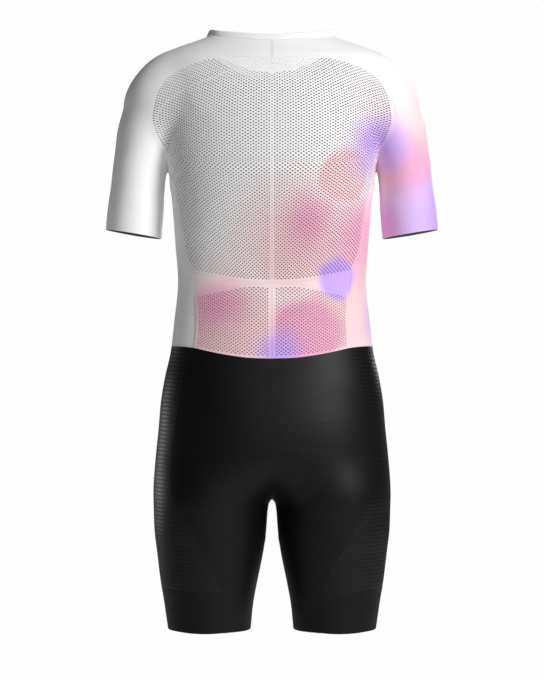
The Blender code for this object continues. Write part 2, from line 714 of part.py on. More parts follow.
def pull_tab(slider, material, collection):
    """Hangs from the crown by its upper bar. Its origin is on the hinge axis, which runs across the suit."""
    half, bar = PULL_WIDTH / 2, PULL_THICKNESS / 2
    round_end = [
        (half * np.cos(a), half * np.sin(a) - PULL_LENGTH + half) for a in np.linspace(0, -np.pi, 13)
    ]
    outline = [(-half, bar), (half, bar), *round_end]
    window = rectangle(-PULL_WINDOW[0] / 2, PULL_WINDOW[0] / 2, -bar - PULL_WINDOW[1], -bar)
    mesh = plate("pull", [outline, window], PULL_THICKNESS, Matrix.Rotation(np.pi / 2, 4, "X"))
    pull = new_object("zip_pull", mesh, material, collection)
    pull.parent = slider
    pull.location = (0, SLIDER_TOP_PLATE[0] - PULL_HEIGHT, 0)
    return pull


def build_zip(s, paint, collection):
    levels = [TAPE_TOP, *s["front_edge"][:, 2], WAIST_FRONT - TAPE_TAIL]
    middle = (TAPE_INNER + TAPE_OUTER) / 2
    tape = zip_strip((TAPE_INNER, middle, TAPE_OUTER), levels)
    for name, grid in (("zip_tape_left", tape), ("zip_tape_right", mirrored(tape))):
        sheet_object(name, [grid], paint[name], collection, TAPE_DEPTH, TAPE_THICKNESS, gap=0)

    stop_level = WAIST_FRONT + STOP_LENGTH
    chain_levels = [SLIDER_LEVEL - SLIDER_LENGTH / 2]
    chain_levels += [z for z in levels if stop_level + STOP_LENGTH < z < chain_levels[0] - STOP_LENGTH]
    chain_levels += [stop_level + STOP_LENGTH / 2 + SEAM_GAP]
    coil = zip_strip((-HALF_CHAIN, 0, HALF_CHAIN), chain_levels)
    sheet_object("zip_chain", [coil], paint["zip_chain"], collection, CHAIN_DEPTH, CHAIN_THICKNESS, gap=0)

    stop = plate("stop", [rectangle(-HALF_CHAIN, HALF_CHAIN, 0, CHAIN_THICKNESS)], STOP_LENGTH)
    stop_object = new_object("zip_bottom_stop", stop, paint["zip_bottom_stop"], collection)
    stop_object.matrix_world = surface_frame(stop_level)

    slider = slider_body(paint["zip_slider"], collection)
    pull_tab(slider, paint["zip_pull"], collection)


# ---------------------------------------------------------------- looks
WHITE_KNIT = ((0.86, 0.86, 0.87), 0.75, 0.0)
WHITE_MESH = ((0.72, 0.72, 0.73), 0.80, 0.0)
BLUSH_KNIT = ((0.80, 0.66, 0.74), 0.75, 0.0)
BLUSH_MESH = ((0.70, 0.58, 0.66), 0.80, 0.0)
BLACK_SATIN = ((0.016, 0.015, 0.018), 0.45, 0.0)
ZIP_TAPE = ((0.80, 0.80, 0.81), 0.70, 0.0)
ZIP_COIL = ((0.75, 0.75, 0.76), 0.40, 0.0)
ZIP_METAL = ((0.55, 0.55, 0.57), 0.35, 0.9)
FINISHES = {
    "collar": WHITE_KNIT, "sleeve_left": WHITE_KNIT, "sleeve_right": BLUSH_KNIT,
    "back_mesh": WHITE_MESH, "back_lower": WHITE_KNIT, "pocket_left": WHITE_MESH, "pocket_right": BLUSH_MESH,
    "side_left": WHITE_KNIT, "side_right": BLUSH_KNIT, "front_left": WHITE_KNIT, "front_right": BLUSH_KNIT,
    "shorts_yoke": BLACK_SATIN, "thigh_side_left": BLACK_SATIN, "thigh_side_right": BLACK_SATIN,
    "leg_back_left": BLACK_SATIN, "leg_back_right": BLACK_SATIN,
    "leg_front_left": BLACK_SATIN, "leg_front_right": BLACK_SATIN,
    "zip_tape_left": ZIP_TAPE, "zip_tape_right": ZIP_TAPE, "zip_chain": ZIP_COIL,
    "zip_bottom_stop": ZIP_METAL, "zip_slider": ZIP_METAL, "zip_pull": ZIP_METAL,
}
ACROSS_BOTH_SIDES = ("back_mesh", "back_lower", "shorts_yoke")


def materials():
    """One material for each piece, by the piece's name."""
    made = {}
    for name, (colour, roughness, metallic) in FINISHES.items():
        material = bpy.data.materials.new(name)
        material.use_nodes = True
        shader = material.node_tree.nodes["Principled BSDF"]
        shader.inputs["Base Color"].default_value = (*colour, 1)
        shader.inputs["Roughness"].default_value = roughness
        shader.inputs["Metallic"].default_value = metallic
        made[name] = material
    return made


def main():
    for obj in list(bpy.data.objects):
        bpy.data.objects.remove(obj)
    collection = bpy.data.collections.new(MODEL_NAME)
    bpy.context.scene.collection.children.link(collection)
    paint = materials()
    s = seams()
    panels = torso_panels(s) | sleeve_panels(s) | shorts_panels(s)
    for kind, grids in panels.items():
        depth = -CLOTH - POCKET_GAP if kind == "pocket" else 0.0
        if kind in ACROSS_BOTH_SIDES:
            sheet_object(kind, grids, paint[kind], collection)
            continue
        left, right = kind + "_left", kind + "_right"
        sheet_object(left, grids, paint[left], collection, depth)
        sheet_object(right, [mirrored(grid) for grid in grids], paint[right], collection, depth)
    sheet_object("collar", [collar_grid(s)], paint["collar"], collection, upright=True, gap=0)
    build_zip(s, paint, collection)


if __name__ == "__main__":
    main()
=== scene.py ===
"""A triathlon suit, worn but empty: its cloth, seams, zip and studio, around the parts of the frame.

Lengths are in metres, +Z is up and the suit faces -Y. The wearer's left is +X."""

from functools import lru_cache

import bmesh
import bpy
import numpy as np
from bpy.props import FloatProperty, FloatVectorProperty, IntProperty, PointerProperty
from mathutils import Matrix, Vector


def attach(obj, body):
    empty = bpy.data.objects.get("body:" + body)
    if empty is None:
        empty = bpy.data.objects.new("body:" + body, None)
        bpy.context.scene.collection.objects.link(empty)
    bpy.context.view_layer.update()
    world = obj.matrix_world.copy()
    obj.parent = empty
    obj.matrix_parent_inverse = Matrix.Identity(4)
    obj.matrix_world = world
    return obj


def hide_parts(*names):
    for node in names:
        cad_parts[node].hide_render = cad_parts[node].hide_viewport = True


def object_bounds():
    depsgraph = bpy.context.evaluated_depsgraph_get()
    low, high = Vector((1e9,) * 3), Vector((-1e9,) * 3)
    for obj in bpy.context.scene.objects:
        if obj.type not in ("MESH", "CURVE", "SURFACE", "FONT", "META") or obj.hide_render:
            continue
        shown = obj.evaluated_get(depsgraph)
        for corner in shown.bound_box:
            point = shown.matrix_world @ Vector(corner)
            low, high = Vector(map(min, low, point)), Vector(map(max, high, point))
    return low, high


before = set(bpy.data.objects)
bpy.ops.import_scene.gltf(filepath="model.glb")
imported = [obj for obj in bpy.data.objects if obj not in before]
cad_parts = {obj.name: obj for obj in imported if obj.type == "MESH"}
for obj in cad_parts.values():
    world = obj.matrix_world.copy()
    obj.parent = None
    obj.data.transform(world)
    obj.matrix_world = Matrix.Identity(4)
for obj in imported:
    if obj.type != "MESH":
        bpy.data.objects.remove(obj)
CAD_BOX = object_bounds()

bl_info = {
    "name": "Triathlon suit",
    "version": (1, 0, 0),
    "blender": (4, 5, 0),
    "location": "3D View > Sidebar > Suit",
    "description": "Builds an empty triathlon suit of knit and mesh panels, with its seams, zip and studio",
    "category": "Add Mesh",
}

# ---------------------------------------------------------------- driving sizes
CLOTH = 0.0010  # wall of the plain panels
MESH_CLOTH = 0.0008
SEAM_GAP = 0.0003
FINE = 5  # pieces of a fine seam for each piece of a coarse one

SEAM_BED = (0.0010, 0.0013)  # the strip under a seam lies between these depths
SEAM_BED_WIDTH = 0.0026
THREAD_OFFSET = 0.0017  # each row of stitches is this far from its seam
THREAD_LIFT = 0.00008
EDGE_CELLS = 1  # cells without a hole along the edges of the mesh
FLOOR_RADIUS, FLOOR_GLOW = 2.7, 0.72
WHITE_TO_THE_EYE = 0.99
LIGHTS = {  # place and size
    "key": ((-2.05, 2.15, 0.8), 1.0),
    "fill": ((-0.4, 3.4, 0.5), 1.8),
    "rim": ((1.6, -1.1, -0.7), 0.6),
    "front": ((-0.8, -2.4, 0.5), 1.6),
}

FUZZ_SCALE, TONE_SCALE, GRAIN_SCALE = 2600.0, 26.0, 320.0  # of the noises, for each metre
LOOP_SHARE = 0.7  # of the knit's height that its loops make, and the rest is fuzz
TONE_LIFT = 0.5
RIB_GLOSS = 0.12  # how much less rough the tops of the ribs are
GRAIN_TONE, GRAIN_ROUGHNESS, GRAIN_DEPTH = 0.86, 0.06, 0.00003

# The form, seams and zip below have the same sizes as the frame's parts.
SHOULDER_BLEND = 0.030  # how softly a sleeve runs into the body above the underarm
UNDERARM_BLEND = 0.005  # and below it, where they are apart
UNDERARM_LEVEL = -0.178
SEAT_TOP, SEAT_BOTTOM = -0.655, -0.742  # the body turns into two legs between these levels

NECK_BACK, NECK_FRONT = -0.010, -0.051  # neckline at the centre back and centre front
YOKE = -0.042  # top of the mesh back
MESH_BOTTOM = -0.391
POCKET_TOP = -0.3955
POCKET_GAP = 0.0003  # between a pocket and the panel that it lies on
WAIST_BACK, WAIST_FRONT = -0.509, -0.490
SEAT_SEAM = -0.608
LEG_BAND, HEM = -0.874, -0.940
CUFF_OUTER, CUFF_INNER = -0.303, -0.318
NECK_OPENING = (0.104, 0.070, 1.0)  # its half sizes, seen from above
COLLAR_HEIGHT = 0.0095
COLLAR_LEAN = 0.0030  # the collar's top edge is this much nearer the neck

FRONT_EDGE = 0.0056  # the front panels stop this far from the middle of the zip
HALF_CHAIN = 0.0026
CHAIN_DEPTH, CHAIN_THICKNESS = 0.0004, 0.0022  # depths are measured inwards from the form
TAPE_INNER, TAPE_OUTER = 0.0030, 0.0135
TAPE_DEPTH = CLOTH + 0.0005
TAPE_TOP, TAPE_TAIL = -0.0425, 0.008  # the tape's tail is sewn in behind the waist seam
SLIDER_LEVEL = -0.0500
SLIDER_LENGTH = 0.0115
STOP_LENGTH = 0.0030
COLLAR_THICKNESS = 0.0014
COLLAR_SEWN, COLLAR_SWELL = 0.0030, 0.0002  # the sewn part stands this high and swells this much
TAPE_LEVELS, TAPE_COLUMNS, TAPE_SLACK = 91, 6, 1.02
TOOTH_SIDES = 8
# Each ring of a tooth's points: how far it is across the zip, and its share of the tooth's size.
TOOTH_RINGS = ((-0.0009, 0.5), (-0.0005, 1.0), (HALF_CHAIN - 0.0003, 1.0), (HALF_CHAIN, 0.6))
TOOTH_DEPTH, TOOTH_HEIGHT = 0.45, 0.24  # shares of the coil's thickness and of the pitch
WELD = 5e-6  # points nearer than this are one
SMOOTHING_ROUNDS, SMOOTHING = 120, 0.6


def table(names, rows):
    """A section table: its levels from the lowest up, its other columns, and their slopes at each level."""
    values = np.array(sorted(rows), float)
    level, columns = values[:, 0], values[:, 1:].T
    chord = np.diff(columns) / np.diff(level)
    slopes = np.concatenate([chord[:, :1], (chord[:, :-1] + chord[:, 1:]) / 2, chord[:, -1:]], axis=1)
    return {"names": names.split()[1:], "level": level, "columns": columns, "slopes": slopes}


BODY = table(
    "level width back front squareness",
    [
        (0.020, 0.082, 0.044, 0.048, 2.0),
        (0.004, 0.104, 0.052, 0.055, 2.0),
        (-0.004, 0.124, 0.058, 0.060, 2.0),
        (-0.013, 0.150, 0.065, 0.065, 2.0),
        (-0.022, 0.172, 0.072, 0.070, 2.0),
        (-0.032, 0.184, 0.080, 0.075, 2.1),
        (-0.045, 0.189, 0.088, 0.081, 2.1),
        (-0.070, 0.188, 0.101, 0.092, 2.2),
        (-0.110, 0.184, 0.112, 0.108, 2.3),
        (-0.160, 0.176, 0.118, 0.121, 2.3),
        (-0.210, 0.1655, 0.118, 0.127, 2.3),
        (-0.265, 0.159, 0.112, 0.125, 2.3),
        (-0.330, 0.154, 0.101, 0.117, 2.3),
        (-0.390, 0.150, 0.094, 0.111, 2.3),
        (-0.450, 0.156, 0.096, 0.109, 2.3),
        (-0.500, 0.162, 0.105, 0.109, 2.3),
        (-0.540, 0.171, 0.114, 0.109, 2.3),
        (-0.575, 0.177, 0.121, 0.109, 2.2),
        (-0.620, 0.181, 0.126, 0.108, 2.2),
        (-0.670, 0.186, 0.125, 0.106, 2.2),
        (-0.710, 0.189, 0.119, 0.104, 2.2),
    ],
)
LEG = table(
    "level centre width back front",
    [
        (-0.640, 0.0925, 0.0915, 0.124, 0.107),
        (-0.690, 0.0940, 0.0940, 0.120, 0.105),
        (-0.725, 0.0955, 0.0940, 0.113, 0.102),
        (-0.745, 0.0975, 0.0915, 0.108, 0.099),
        (-0.785, 0.0985, 0.0890, 0.098, 0.094),
        (-0.820, 0.0988, 0.0845, 0.089, 0.088),
        (-0.860, 0.1005, 0.0780, 0.080, 0.082),
        (-0.900, 0.1010, 0.0710, 0.071, 0.076),
        (-0.945, 0.1000, 0.0655, 0.064, 0.070),
    ],
)
ARM = table(
    "level centre width depth forward",
    [
        (-0.110, 0.1730, 0.0640, 0.064, 0.000),
        (-0.145, 0.1890, 0.0575, 0.062, 0.001),
        (-0.180, 0.2030, 0.0480, 0.058, 0.003),
        (-0.210, 0.2115, 0.0435, 0.055, 0.006),
        (-0.235, 0.2150, 0.0430, 0.053, 0.009),
        (-0.270, 0.2185, 0.0450, 0.052, 0.013),
        (-0.330, 0.2240, 0.0450, 0.050, 0.020),
    ],
)
ARM_DOME = 0.066  # height of the rounded top of the arm above its first section

# Pieces along each seam. Two panels that meet share a seam's points, so its count is stated once.
COUNTS = {
    "mesh_bottom": 6, "pocket_top": 6, "waist_back": 6, "yoke_seam": 6, "raglan_back_upper": 6,
    "side_back_upper": 7, "raglan_back_lower": 6, "lower_side": 1, "pocket_side": 3,
    "armhole_back": 3, "armhole_front": 3, "waist_side": 6, "side_front": 11,
    "raglan_front_lower": 8, "raglan_front_upper": 4, "front_edge": 19,
    "waist_front": 6, "waist_centre": 1, "neck_front": 2,
    "underarm": 6, "over_arm_lower": 6, "over_arm_upper": 15,
    "cuff_back": 6, "cuff_front": 5, "centre_neck": 2, "neck_back": 4, "neck_side": 5,
    "centre_hip": 3, "side_back_hip": 3, "seat_seam": 6, "inseam": 6,
    "side_back_thigh": 10, "band_back": 2, "side_front_hip": 13, "band_front": 2,
    "band_seam": 6, "hem_back": 6, "hem_side": 6, "hem_front": 7, "front_seam": 9,
}


# ---------------------------------------------------------------- the form that the cloth follows
def section(sections, level):
    """All columns of a section table at any level, as smooth curves through its rows."""
    x = sections["level"]
    at = np.clip(level, x[0], x[-1])
    i = np.clip(np.searchsorted(x, at) - 1, 0, len(x) - 2)
    step = x[i + 1] - x[i]
    t = (at - x[i]) / step
    y, m = sections["columns"], sections["slopes"]
    return (
        y[:, i] * (1 + 2 * t) * (1 - t) ** 2
        + y[:, i + 1] * t**2 * (3 - 2 * t)
        + step * t * (1 - t) * (m[:, i] * (1 - t) - m[:, i + 1] * t)
    )


def size(sections, name, level):
    """One column of a section table at one level."""
    return float(section(sections, level)[sections["names"].index(name)])


def ramp(value, low, high):
    """0 below low, 1 above high and smooth between."""
    t = np.clip((value - low) / (high - low), 0.0, 1.0)
    return t * t * (3 - 2 * t)


def soft_union(a, b, reach):
    """The nearer of two distances, rounded off where they are within reach of each other."""
    h = np.maximum(reach - np.abs(a - b), 0.0) / reach
    return np.minimum(a, b) - h * h * reach / 4


def body_distance(x, y, z):
    width, back_depth, front_depth, power = section(BODY, z)
    depth = np.where(y > 0, back_depth, front_depth)
    rho = ((np.abs(x) / width) ** power + (np.abs(y) / depth) ** power) ** (1 / power)
    return (rho - 1) * np.minimum(width, depth)


def leg_distance(x, y, z):
    """Both legs, one each side of the middle."""
    centre, width, back_depth, front_depth = section(LEG, z)
    depth = np.where(y > 0, back_depth, front_depth)
    return (np.hypot((np.abs(x) - centre) / width, y / depth) - 1) * np.minimum(width, depth)


def arm_distance(x, y, z):
    """Both arms, one each side. They end below the cuffs."""
    centre, width, depth, forward = section(ARM, z)
    above = np.maximum(z - ARM["level"][-1], 0.0) / ARM_DOME
    below = np.maximum(ARM["level"][0] - z, 0.0)
    rho = np.sqrt(((np.abs(x) - centre) / width) ** 2 + ((y + forward) / depth) ** 2 + above**2)
    return (rho - 1) * np.minimum(width, depth) + below


def trunk_form(points):
    """About how far each point is outside the body and the legs."""
    x, y, z = np.moveaxis(np.asarray(points, float), -1, 0)
    legs = ramp(-z, -SEAT_TOP, -SEAT_BOTTOM)
    return (1 - legs) * body_distance(x, y, z) + legs * leg_distance(x, y, z)


def form(points):
    """About how far each point is outside the form. The cloth's outer face is where this is 0."""
    x, y, z = np.moveaxis(np.asarray(points, float), -1, 0)
    above = ramp(z, UNDERARM_LEVEL - 0.012, UNDERARM_LEVEL + 0.050)
    reach = UNDERARM_BLEND + (SHOULDER_BLEND - UNDERARM_BLEND) * above
    return soft_union(trunk_form(points), arm_distance(x, y, z), reach)


def slope(points, surface=form):
    """The gradient of the distance from the surface."""
    step = 1e-4
    parts = [
        (surface(points + step * axis) - surface(points - step * axis)) / (2 * step) for axis in np.eye(3)
    ]
    return np.stack(parts, axis=-1)


def outward(points):
    """Unit normals of the form."""
    g = slope(points)
    return g / np.linalg.norm(g, axis=-1, keepdims=True)


def onto_form(points, rounds=8, surface=form):
    """The points moved onto the surface, straight along its gradient."""
    points = np.array(points, float)
    for _ in range(rounds):
        g = slope(points, surface)
        step = surface(points)[..., None] * g / np.maximum((g * g).sum(-1, keepdims=True), 1e-6)
        far = np.maximum(np.linalg.norm(step, axis=-1, keepdims=True), 1e-12)
        points -= step * np.minimum(1.0, 0.02 / far)
    return points


def cast(start, towards):
    """Where a line from a point inside the form first leaves it."""
    start, towards = np.array(start, float), np.array(towards, float)
    towards /= np.linalg.norm(towards)
    low, high = 0.0, 0.4
    for _ in range(4):
        reach = np.linspace(low, high, 101)
        first = max((form(start + reach[:, None] * towards) > 0).argmax(), 1)
        low, high = reach[first - 1], reach[first]
    return start + high * towards


def back(x, z):
    return cast((x, 0, z), (0, 1, 0))


def front(x, z):
    return cast((x, 0, z), (0, -1, 0))


def side(y, z):
    return cast((0.1, y, z), (1, 0, 0))


def arm_point(angle, z):
    """A point round the left arm: 0 degrees on its outer side, 90 on its back."""
    a = np.radians(angle)
    centre, forward = size(ARM, "centre", z), size(ARM, "forward", z)
    tilt = (CUFF_OUTER - CUFF_INNER) / (2 * size(ARM, "width", z))
    return cast((centre, -forward, z), (np.cos(a), np.sin(a), tilt * np.cos(a)))


def leg_point(angle, z):
    """A point round the left leg: 0 degrees on its outer side, 90 on its back."""
    a = np.radians(angle)
    return cast((size(LEG, "centre", z), 0, z), (np.cos(a), np.sin(a), 0))


def seat_point(angle):
    """A point on the centre line under the body: 0 degrees at the back, 90 straight down."""
    a = np.radians(angle)
    return cast((0, 0, SEAT_TOP + 0.010), (0, np.cos(a), -np.sin(a)))


# ---------------------------------------------------------------- seams
def curve(points, count):
    """A smooth line through the points, on the form, cut into count equal pieces."""
    points = np.array(points, float)
    ends = points[0].copy(), points[-1].copy()
    if len(points) > 2:
        points = smooth_line(points)
    for _ in range(2):
        dense = at_equal_steps(points, 120)
        dense[1:-1] = onto_form(dense[1:-1])
        points = dense
    line = at_equal_steps(points, count)
    line[1:-1] = onto_form(line[1:-1])
    line[0], line[-1] = ends
    return line


def smooth_line(points):
    """Catmull-Rom through the points."""
    knots = np.concatenate([[2 * points[0] - points[1]], points, [2 * points[-1] - points[-2]]])
    t = np.linspace(0, 1, 16, endpoint=False)[:, None]
    pieces = []
    for a, b, c, d in zip(knots[:-3], knots[1:-2], knots[2:-1], knots[3:]):
        pieces.append(
            b + 0.5 * t * (c - a + t * (2 * a - 5 * b + 4 * c - d + t * (3 * (b - c) + d - a)))
        )
    return np.concatenate([*pieces, points[-1:]])


def at_equal_steps(line, count):
    far = np.concatenate([[0], np.cumsum(np.linalg.norm(np.diff(line, axis=0), axis=1))])
    at = np.linspace(0, far[-1], count + 1)
    return np.stack([np.interp(at, far, line[:, k]) for k in range(3)], axis=1)


def corners():
    """The points where seams meet, on the left half."""
    cuff_middle = (CUFF_OUTER + CUFF_INNER) / 2
    return {
        "neck_centre_back": back(0, NECK_BACK),
        "yoke_centre": back(0, YOKE),
        "mesh_centre": back(0, MESH_BOTTOM),
        "waist_centre_back": back(0, WAIST_BACK),
        "seat_centre": back(0, SEAT_SEAM),
        "crotch": seat_point(90),
        "waist_centre_front": front(0, WAIST_FRONT),
        "zip_waist": front(FRONT_EDGE, WAIST_FRONT),
        "zip_neck": front(FRONT_EDGE, NECK_FRONT),
        "neck_raglan": front(0.066, -0.0375),
        "neck_shoulder": cast((0.104, 0, -0.040), (0, 0, 1)),
        "yoke_turn": back(0.164, -0.0665),
        "chest_turn": front(0.152, -0.075),
        "underarm_back": back(0.175, -0.180),
        "underarm": cast((0.1655, 0, -0.150), (0, 0, -1)),
        "underarm_front": front(0.176, -0.178),
        "mesh_side": back(0.125, -0.3726),
        "pocket_centre": back(0, POCKET_TOP),
        "pocket_side": back(0.1205, -0.411),
        "waist_back": back(0.121, -0.4925),
        "waist_front": front(0.125, WAIST_FRONT),
        "seat_side": back(0.1495, -0.611),
        "band_back": back(0.0785, LEG_BAND),
        "band_front": front(0.080, LEG_BAND),
        "hem_back": back(0.0785, HEM),
        "hem_front": front(0.080, HEM),
        "hem_inner": leg_point(180, HEM),
        "cuff_under": arm_point(180, cuff_middle),
        "cuff_over": arm_point(0, cuff_middle),
        "over_turn": arm_point(0, -0.168),
    }


def seams(fine=1):
    """Every seam of the left half as {name: its points}, from the first corner named to the last."""
    c = corners()
    cuff_middle = (CUFF_OUTER + CUFF_INNER) / 2
    routes = {
        "raglan_back_upper": ["yoke_turn", back(0.139, -0.051), back(0.097, -0.0378),
                              back(0.066, -0.0371), back(0.030, -0.0395), "yoke_centre"],
        "raglan_back_lower": ["underarm_back", back(0.186, -0.162), back(0.1945, -0.137),
                              back(0.192, -0.116), back(0.182, -0.0873), "yoke_turn"],
        "armhole_back": ["underarm", "underarm_back"],
        "armhole_front": ["underarm", "underarm_front"],
        "raglan_front_lower": ["underarm_front", front(0.188, -0.155), front(0.190, -0.125),
                               front(0.176, -0.095), "chest_turn"],
        "raglan_front_upper": ["chest_turn", front(0.121, -0.060), front(0.090, -0.048), "neck_raglan"],
        "neck_back": ["neck_centre_back", back(0.026, -0.0085), back(0.060, -0.0048),
                      back(0.088, -0.0005), "neck_shoulder"],
        "neck_side": ["neck_shoulder", front(0.100, -0.009), front(0.086, -0.023), "neck_raglan"],
        "neck_front": ["neck_raglan", front(0.036, -0.0475), "zip_neck"],
        "centre_neck": ["yoke_centre", back(0, (YOKE + NECK_BACK) / 2), "neck_centre_back"],
        "side_back_upper": ["underarm_back", back(0.160, -0.2214), back(0.149, -0.2745),
                            back(0.140, -0.3348), "mesh_side"],
        "lower_side": ["mesh_side", "pocket_side"],
        "pocket_side": ["pocket_side", back(0.1185, -0.449), "waist_back"],
        "side_front": ["underarm_front", front(0.160, -0.225), front(0.149, -0.280),
                       front(0.140, -0.340), front(0.130, -0.410), "waist_front"],
        "mesh_bottom": ["mesh_centre", back(0.040, -0.3890), back(0.083, -0.3820), "mesh_side"],
        "pocket_top": ["pocket_centre", back(0.035, -0.3930), back(0.083, -0.4020), "pocket_side"],
        "waist_back": ["waist_centre_back", back(0.041, -0.5072), back(0.085, -0.5005), "waist_back"],
        "waist_side": ["waist_back", side(0, WAIST_FRONT), "waist_front"],
        "waist_front": ["waist_front", front(0.075, WAIST_FRONT), "zip_waist"],
        "waist_centre": ["zip_waist", "waist_centre_front"],
        "front_edge": ["zip_neck"] + [front(FRONT_EDGE, z) for z in (-0.11, -0.2, -0.3, -0.4)]
                      + ["zip_waist"],
        "yoke_seam": ["seat_centre", back(0.040, -0.6105), back(0.100, -0.6060), "seat_side"],
        "centre_hip": ["waist_centre_back", back(0, -0.558), "seat_centre"],
        "side_back_hip": ["waist_back", back(0.1345, -0.525), back(0.1455, -0.580), "seat_side"],
        "side_back_thigh": ["seat_side", back(0.1547, -0.639), back(0.1580, -0.690), back(0.1545, -0.722),
                            back(0.1423, -0.7474), back(0.1112, -0.8018), back(0.0910, -0.8407),
                            "band_back"],
        "side_front_hip": ["waist_front", front(0.139, -0.550), front(0.147, -0.620), front(0.146, -0.690),
                           front(0.134, -0.750), front(0.108, -0.815), "band_front"],
        "band_seam": ["band_back", leg_point(45, LEG_BAND), leg_point(0, LEG_BAND),
                      leg_point(-45, LEG_BAND), "band_front"],
        "band_back": ["band_back", "hem_back"],
        "band_front": ["band_front", "hem_front"],
        "hem_back": ["hem_inner", leg_point(135, HEM), "hem_back"],
        "hem_side": ["hem_back", leg_point(45, HEM), leg_point(0, HEM), leg_point(-45, HEM), "hem_front"],
        "hem_front": ["hem_front", leg_point(-135, HEM), "hem_inner"],
        "seat_seam": ["seat_centre", back(0, -0.645), seat_point(25), seat_point(50), seat_point(70),
                      "crotch"],
        "front_seam": ["waist_centre_front", front(0, -0.560), front(0, -0.620), seat_point(155),
                       seat_point(130), seat_point(110), "crotch"],
        "inseam": ["crotch", *(leg_point(180, z) for z in (-0.765, -0.800, -0.850, -0.900)), "hem_inner"],
        "underarm": ["cuff_under", arm_point(180, -0.270), arm_point(180, -0.225), "underarm"],
        "over_arm_lower": ["cuff_over", arm_point(0, -0.240), "over_turn"],
        "over_arm_upper": ["over_turn", arm_point(0, -0.130), cast((0.160, 0, -0.110), (1, 0, 0.9)),
                           cast((0.160, 0, -0.110), (0.25, 0, 1)), cast((0.130, 0, -0.060), (0, 0, 1)),
                           "neck_shoulder"],
        "cuff_back": ["cuff_under", arm_point(135, cuff_middle), arm_point(90, cuff_middle),
                      arm_point(45, cuff_middle), "cuff_over"],
        "cuff_front": ["cuff_under", arm_point(-135, cuff_middle), arm_point(-90, cuff_middle),
                       arm_point(-45, cuff_middle), "cuff_over"],
    }
    return {
        name: curve([c[p] if isinstance(p, str) else p for p in route], COUNTS[name] * fine)
        for name, route in routes.items()
    }


def chain(*lines):
    """Lines end to end, as one line."""
    return np.concatenate([lines[0]] + [line[1:] for line in lines[1:]])


def mirrored(line):
    return line * (-1, 1, 1)


# ---------------------------------------------------------------- creases
# Soft ridges and, with a negative height, troughs. Each is placed on the back or front by x and z, or
# round an arm or leg by angle and z. Tilt is in degrees up from level. The columns are: place, across,
# level, tilt, length, width, height on the left and height on the right.
CREASES = [
    ("back", 0.166, -0.196, 38, 0.036, 0.0050, 0.0013, 0.0011),
    ("back", 0.158, -0.212, 24, 0.040, 0.0046, -0.0009, -0.0011),
    ("back", 0.150, -0.232, 12, 0.046, 0.0060, 0.0007, 0.0009),
    ("back", 0.178, -0.158, 66, 0.030, 0.0048, 0.0010, 0.0008),
    ("back", 0.112, -0.120, 40, 0.075, 0.0110, 0.0008, 0.0006),
    ("back", 0.070, -0.300, -14, 0.090, 0.0140, -0.0007, 0.0008),
    ("back", 0.052, -0.474, 9, 0.060, 0.0065, 0.0007, -0.0006),
    ("back", 0.088, -0.518, -7, 0.055, 0.0060, 0.0009, 0.0008),
    ("back", 0.030, -0.536, 12, 0.050, 0.0070, -0.0008, 0.0007),
    ("back", 0.034, -0.694, 52, 0.048, 0.0065, 0.0012, 0.0010),
    ("back", 0.060, -0.724, 30, 0.052, 0.0070, -0.0010, -0.0012),
    ("back", 0.104, -0.742, 9, 0.050, 0.0065, 0.0010, 0.0012),
    ("back", 0.124, -0.800, -16, 0.045, 0.0065, -0.0007, 0.0008),
    ("arm", 158, -0.226, 26, 0.030, 0.0050, 0.0012, 0.0014),
    ("arm", 128, -0.246, 14, 0.034, 0.0056, -0.0009, -0.0008),
    ("arm", 60, -0.200, -22, 0.040, 0.0080, 0.0007, 0.0008),
    ("arm", -140, -0.232, -20, 0.034, 0.0052, 0.0011, 0.0012),
    ("leg", 165, -0.790, 22, 0.036, 0.0060, 0.0010, 0.0009),
    ("leg", 150, -0.826, 12, 0.040, 0.0065, -0.0008, -0.0009),
    ("front", 0.166, -0.190, -34, 0.038, 0.0052, 0.0013, 0.0012),
    ("front", 0.154, -0.212, -20, 0.042, 0.0050, -0.0010, -0.0009),
    ("front", 0.130, -0.116, 44, 0.060, 0.0100, 0.0008, 0.0007),
    ("front", 0.060, -0.300, 12, 0.080, 0.0130, 0.0007, -0.0007),
    ("front", 0.070, -0.462, -8, 0.060, 0.0070, 0.0009, 0.0008),
    ("front", 0.110, -0.512, 7, 0.050, 0.0060, -0.0008, 0.0009),
    ("front", 0.044, -0.650, 48, 0.050, 0.0070, 0.0013, 0.0011),
    ("front", 0.076, -0.690, 34, 0.048, 0.0068, -0.0011, -0.0010),
    ("front", 0.110, -0.720, 14, 0.050, 0.0070, 0.0009, 0.0010),
]
CREASE_BEND = 3.0  # how fast a crease curves away from straight
CREASE_REACH = 0.030  # it doesn't act further than this from its own side of the cloth


@lru_cache(maxsize=1)
def crease_frames():
    """Each crease on both sides: its middle, the ways along, across and out of it, its sizes and height."""
    placed = {"back": back, "front": front, "arm": arm_point, "leg": leg_point}
    frames = []
    for place, across, level, tilt, length, width, left, right in CREASES:
        middle = placed[place](across, level)
        normal = outward(middle[None])[0]
        sideways = np.cross(normal, (0, 0, 1))
        sideways *= np.sign(sideways[0]) / np.linalg.norm(sideways)
        upwards = np.cross(sideways, normal)
        upwards *= np.sign(upwards[2])
        angle = np.radians(tilt)
        along = np.cos(angle) * sideways + np.sin(angle) * upwards
        over = np.cos(angle) * upwards - np.sin(angle) * sideways
        for mirror, height in ((1, left), (-1, right)):
            flip = np.array((mirror, 1, 1))
            frames.append((middle * flip, along * flip, over * flip, normal * flip, length, width, height))
    return frames


